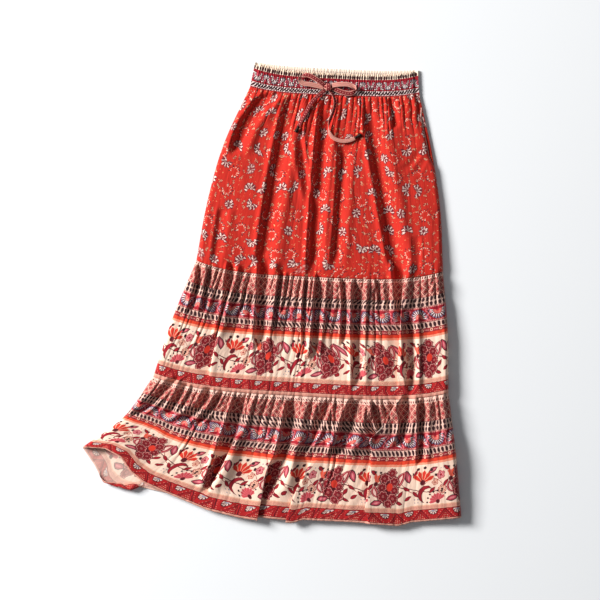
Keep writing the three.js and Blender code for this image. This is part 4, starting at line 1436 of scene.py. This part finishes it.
# %% Flower band and border group
def garden_band(across, down, ground):
    """The vine and its branch, two clusters of dots, the motifs of the table, and the blossom's heart."""
    x = across.do("WRAP", GARDEN_REPEAT, 0)
    garden = vector_of(x, down - GARDEN_TOP)
    _, y = parts_of(garden)
    wave = (x * (2 * math.pi / GARDEN_REPEAT)).do("SINE")
    vine = abs(wave * 8 + 47 - y).under(0.8)
    branch = abs((x * (4 * math.pi / GARDEN_REPEAT) + 1.1).do("SINE") * 13 + 42 - y).under(0.6)
    dots = spot((x - 64).to_and_fro(3.2), (y - 11).to_and_fro(3.2)).under(1.3)
    cluster = length_of(placed(garden, 64, 11, 0, 9, 6)).under(1, 0.05)
    corner = length_of(placed(garden, 12, 70, 0, 11, 6)).under(1, 0.05)
    clusters = dots * cluster.do("MAXIMUM", corner)
    colour = paint(CREAM, (vine, MAROON), (branch, dye(150, 30, 34)), (clusters, GREY))
    for draw, *values in GARDEN:
        colour = draw(garden, colour, *values)
    heart = length_of(placed(garden, 106, 40, 0, 6, 8)).under(1, 0.1)
    colour = paint(colour, (heart, dye(214, 52, 34)))
    return paint(ground, (down.between(GARDEN_TOP + 1, GARDEN_BOTTOM), colour))


def border_print(cloth):
    across, down = parts_of(hand_drawn(cloth, 6, 1.8))
    colour = row_ground(down, BORDER_ROWS, BORDER_REACH)
    for row in (lattice_row, drop_rows, fan_row, ring_row, garden_band, hem_rows):
        colour = row(across, down, colour)
    return paint(colour, *((down.between(line - 0.4, line + 0.4), MAROON) for line in OUTLINES))


border_group = print_group("border print", border_print)

# %% [markdown]
# # The waistband's print
# The band is cut from a narrower border: drops on cream, a row of small fan flowers on dark red, and
# drops again, which lean.

# %% Band print group
BAND_REACH = 60
BAND_ROWS = [(0, dye(244, 218, 194)), (13, BAND_RED), (38, dye(232, 206, 200)), (48, BAND_RED)]
BAND_FAN_PITCH = 24
BAND_FAN_MIDDLE = 27


def band_print(cloth):
    across, down = parts_of(cloth)
    inside = down.between(14, 38)
    x, half_turn = turned_in_turn(across, BAND_FAN_PITCH)
    away, beside, turn = fan(vector_of(x, (down - BAND_FAN_MIDDLE) * half_turn + 6), 9, 1.9)
    opened = turn.under(1.9, 0.05) * inside
    gap = spot(abs(x) - BAND_FAN_PITCH / 2, down - BAND_FAN_MIDDLE)
    return paint(
        row_ground(down, BAND_ROWS, BAND_REACH),
        (drops(across, down, 7, 9, 2.6, 4.8).under(1, 0.2), dye(70, 24, 30)),
        (drops(across + down, down, 8, 43, 2.9, 4.8).under(1, 0.2), DARK),
        (away.under(15, 0.5) * opened, MAROON),
        (away.between(9, 14.4, 0.4) * beside.under(0.5, 0.3) * opened, GREY),
        (away.between(5.5, 12, 0.4) * beside.under(0.48, 0.2) * opened, WHITE),
        (away.under(5, 0.4) * opened, ROSE), (gap.between(1.8, 4.4, 0.4) * inside, ROSE))


band_group = print_group("waistband print", band_print)

# %% [markdown]
# # Crinkle and weave
# The cloth is a light crepe: thin threads with fine upright crinkles that never quite line up. One group
# gives its height for the Bump node, and a tone that lightens and darkens the print a little: in broad
# patches, because dye takes unevenly, and with the crinkles, darker in their hollows, which is painted
# shade. Each material chooses how strong its crinkle is.

# %% Crepe group
# Turns a place into an angle, so that a thread comes every 0.45 mm
THREAD_RATE = 14
THREAD_HEIGHT = 0.012


def uneven_patches(cloth, wide, long, detail):
    """Smooth noise around 0, in patches of about that size in millimetres."""
    inputs = {0: placed(cloth, 0, 0, 0, wide, long), "Scale": 1, "Detail": detail}
    noise = add_node(cloth.id_data, "ShaderNodeTexNoise", inputs, noise_dimensions="2D")
    return Field(noise.outputs[0]) - 0.5


def crepe():
    inputs = {"Cloth": "Vector", "Crinkle": "Float", "Unevenness": "Float"}
    tree, start, end = new_group("crepe cloth", inputs, {"Height": "Float", "Tone and crease shade": "Float"})
    cloth, strength, uneven_dye_and_shade = (start.outputs[name] for name in inputs)
    across, down = parts_of(cloth)
    threads = (across * THREAD_RATE).do("SINE") * (down * THREAD_RATE).do("SINE")
    crinkle = uneven_patches(cloth, 1.6, 9, 2.0)
    soft = uneven_patches(cloth, 5, 28, 1.0)
    patch = uneven_patches(cloth, 60, 60, 3.0)
    height = (crinkle * 0.5 + soft * 1.1) * Field(strength) + threads * THREAD_HEIGHT
    # The tone is uneven dye in the broad patches, and painted shade where it follows the crinkle's height,
    # darker in its hollows
    dye_tone_and_crease_shade = (patch * 0.5 + crinkle * 0.6) * Field(uneven_dye_and_shade) + 1
    tree.links.new(height.socket, end.inputs["Height"])
    tree.links.new(dye_tone_and_crease_shade.socket, end.inputs["Tone and crease shade"])
    return tree


crepe_group = crepe()
print(crepe_group.name, len(crepe_group.nodes), "nodes")

# %% [markdown]
# # Cloth materials
# A cloth material reads its place on the flat cloth from the map, in millimetres, and gets its colour from
# a print and its relief from the crepe. The reverse of a printed cloth is paler, because the dye doesn't
# go all the way through: the same print is mixed with cream there. Cotton has no gloss, only a faint
# sheen where fibres stand up.

# %% Cloth materials
REVERSE_CREAM = dye(250, 232, 216)
CREASE_STRENGTH = 0.7
COTTON = {"Roughness": 0.88, "Specular IOR Level": 0.25, "Sheen Weight": 0.12, "Sheen Roughness": 0.5}


def new_material(name, look):
    """A material with its shader set from a table, and the tree it stands in."""
    material = bpy.data.materials.new(name)
    material.use_nodes = True
    shader = material.node_tree.nodes["Principled BSDF"]
    for label, value in look.items():
        shader.inputs[label].default_value = value
    return material, material.node_tree, shader


def cloth_in_mm(tree):
    uv = add_node(tree, "ShaderNodeUVMap", {}, uv_map=CLOTH_MAP)
    inputs = {0: uv.outputs[0], "Scale": 1000}
    return add_node(tree, "ShaderNodeVectorMath", inputs, operation="SCALE").outputs[0]


def cloth_material(name, group, paler=0.0, crinkle=0.6, unevenness=0.25):
    material, tree, shader = new_material(name, COTTON)
    cloth = cloth_in_mm(tree)
    colour = add_node(tree, "ShaderNodeGroup", {"Cloth": cloth}, node_tree=group).outputs["Color"]
    inputs = {"Cloth": cloth, "Crinkle": crinkle, "Unevenness": unevenness}
    relief = add_node(tree, "ShaderNodeGroup", inputs, node_tree=crepe_group)
    if paler:
        inputs = {"Factor": paler, MIX_BASE: colour, MIX_COLOUR: REVERSE_CREAM}
        colour = add_node(tree, "ShaderNodeMix", inputs, data_type="RGBA").outputs[MIX_RESULT]
    # The print is scaled by the tone: uneven dye, and painted shade in the crinkle hollows
    inputs = {0: colour, "Scale": relief.outputs["Tone and crease shade"]}
    toned_and_shaded = add_node(tree, "ShaderNodeVectorMath", inputs, operation="SCALE")
    tree.links.new(toned_and_shaded.outputs[0], shader.inputs["Base Color"])
    inputs = {"Strength": CREASE_STRENGTH, "Distance": MM, "Height": relief.outputs["Height"]}
    tree.links.new(add_node(tree, "ShaderNodeBump", inputs).outputs[0], shader.inputs["Normal"])
    return material


def finish_sheet(piece, outside, inside, outside_up=True):
    """Gives a sheet its two sides: the grid's own faces look up, and the Solidify faces look down."""
    for side in (outside, inside) if outside_up else (inside, outside):
        piece.data.materials.append(side)


red_outside = cloth_material("red print", scattered_group)
red_inside = cloth_material("red print reverse", scattered_group, paler=0.45)
border_outside = cloth_material("border print outside", border_group)
border_inside = cloth_material("border print reverse", border_group, paler=0.35)
band_outside = cloth_material("waistband print outside", band_group)
binding_outside = cloth_material("binding print", border_group, crinkle=0.3)
band_inside = cloth_material("waistband reverse", band_group, paler=0.45)
for name in TIERS:
    sides = (red_outside, red_inside) if name == "upper" else (border_outside, border_inside)
    finish_sheet(fronts[name], *sides)
    finish_sheet(backs[name], *sides, outside_up=False)
finish_sheet(band["front"], band_outside, band_inside)
finish_sheet(band["back"], band_outside, band_inside, outside_up=False)
finish_sheet(facing, red_outside, red_inside)
finish_sheet(binding, binding_outside, red_inside)
print("cloth materials done")

# %% [markdown]
# # Tape and metal
# The tape's face is dark red, with pale edges and a pale stitched figure down its middle. Its reverse is
# plain and pale, with a broken stripe. It lies further along the map, so one material draws both. The tips
# are dark metal with a satin gloss, a little rubbed at random.

# %% Tape and metal materials
FACE_ENDS = 8


def tape_print(cloth):
    across, down = parts_of(cloth)
    side = abs(across)
    figure = spot(side * 0.8, down.to_and_fro(2.6)).under(0.8)
    off = abs(across - REVERSE_PLACE / MM)
    stripe = off.between(1.0, 2.0) * down.to_and_fro(1.2).under(0.7)
    pale = paint(dye(212, 146, 130), (stripe, dye(150, 48, 50)))
    return paint(
        dye(126, 26, 34), (side.between(3.1, 4.6, 0.6), dye(204, 128, 114)), (figure, dye(214, 140, 124)),
        (across.over(FACE_ENDS), pale))


def metal_material():
    material, tree, shader = new_material("dark satin metal", {"Metallic": 0.85})
    noise = add_node(tree, "ShaderNodeTexNoise", {0: cloth_in_mm(tree), "Scale": 0.8, "Detail": 3})
    rub = Field(noise.outputs[0])
    colour = paint(dye(40, 28, 26), (rub.between(0.62, 0.9, 0.15), dye(120, 84, 70)))
    tree.links.new(colour, shader.inputs["Base Color"])
    tree.links.new((rub * 0.25 + 0.25).socket, shader.inputs["Roughness"])
    return material


tape_material = cloth_material("tape print outside", print_group("tape print", tape_print), crinkle=0.3)
for piece in (*(cord["piece"] for cord in cords.values()), knot, knot_wrap):
    piece.data.materials.append(tape_material)
dark_metal = metal_material()
for piece in tips.values():
    piece.data.materials.append(dark_metal)
print("materials:", len(bpy.data.materials))

# %% [markdown]
# # Floor and light
# A plain pale floor, a soft light at the upper left that draws the folds, and an even light from all
# round that keeps the shadows open.

# %% Studio
FLOOR_SIZE = 6.0
LIGHT_PLACE = (-5.4, 2.55, 3.35)
LIGHT_SIZE = (2.2, 2.2)
LIGHT_POWER = 920
EVEN_STRENGTH = 0.19


def make_floor():
    mesh = bpy.data.meshes.new("floor")
    corners = [(x * FLOOR_SIZE, y * FLOOR_SIZE, 0) for x, y in ((-1, -1), (1, -1), (1, 1), (-1, 1))]
    mesh.from_pydata(corners, [], [(0, 1, 2, 3)])
    look = {"Base Color": dye(245, 246, 247), "Roughness": 0.9, "Specular IOR Level": 0.1}
    mesh.materials.append(new_material("pale floor", look)[0])
    floor = add_object("floor", mesh)
    return floor


def soft_light(name, place, size, power):
    data = bpy.data.lights.new(name, "AREA")
    data.shape = "RECTANGLE"
    data.size, data.size_y = size
    data.energy = power
    light = add_object(name, data)
    light.location = place
    light.rotation_euler = (-Vector(place)).to_track_quat("-Z", "Y").to_euler()
    return light


def even_light(strength):
    world = bpy.data.worlds.new("studio")
    world.use_nodes = True
    background = world.node_tree.nodes["Background"]
    background.inputs["Color"].default_value = dye(246, 250, 255)
    background.inputs["Strength"].default_value = strength
    bpy.context.scene.world = world


floor = make_floor()
key = soft_light("window at the left", LIGHT_PLACE, LIGHT_SIZE, LIGHT_POWER)
even_light(EVEN_STRENGTH)
bpy.context.scene.view_settings.view_transform = "Standard"
print("key light:", key.data.energy, "W")
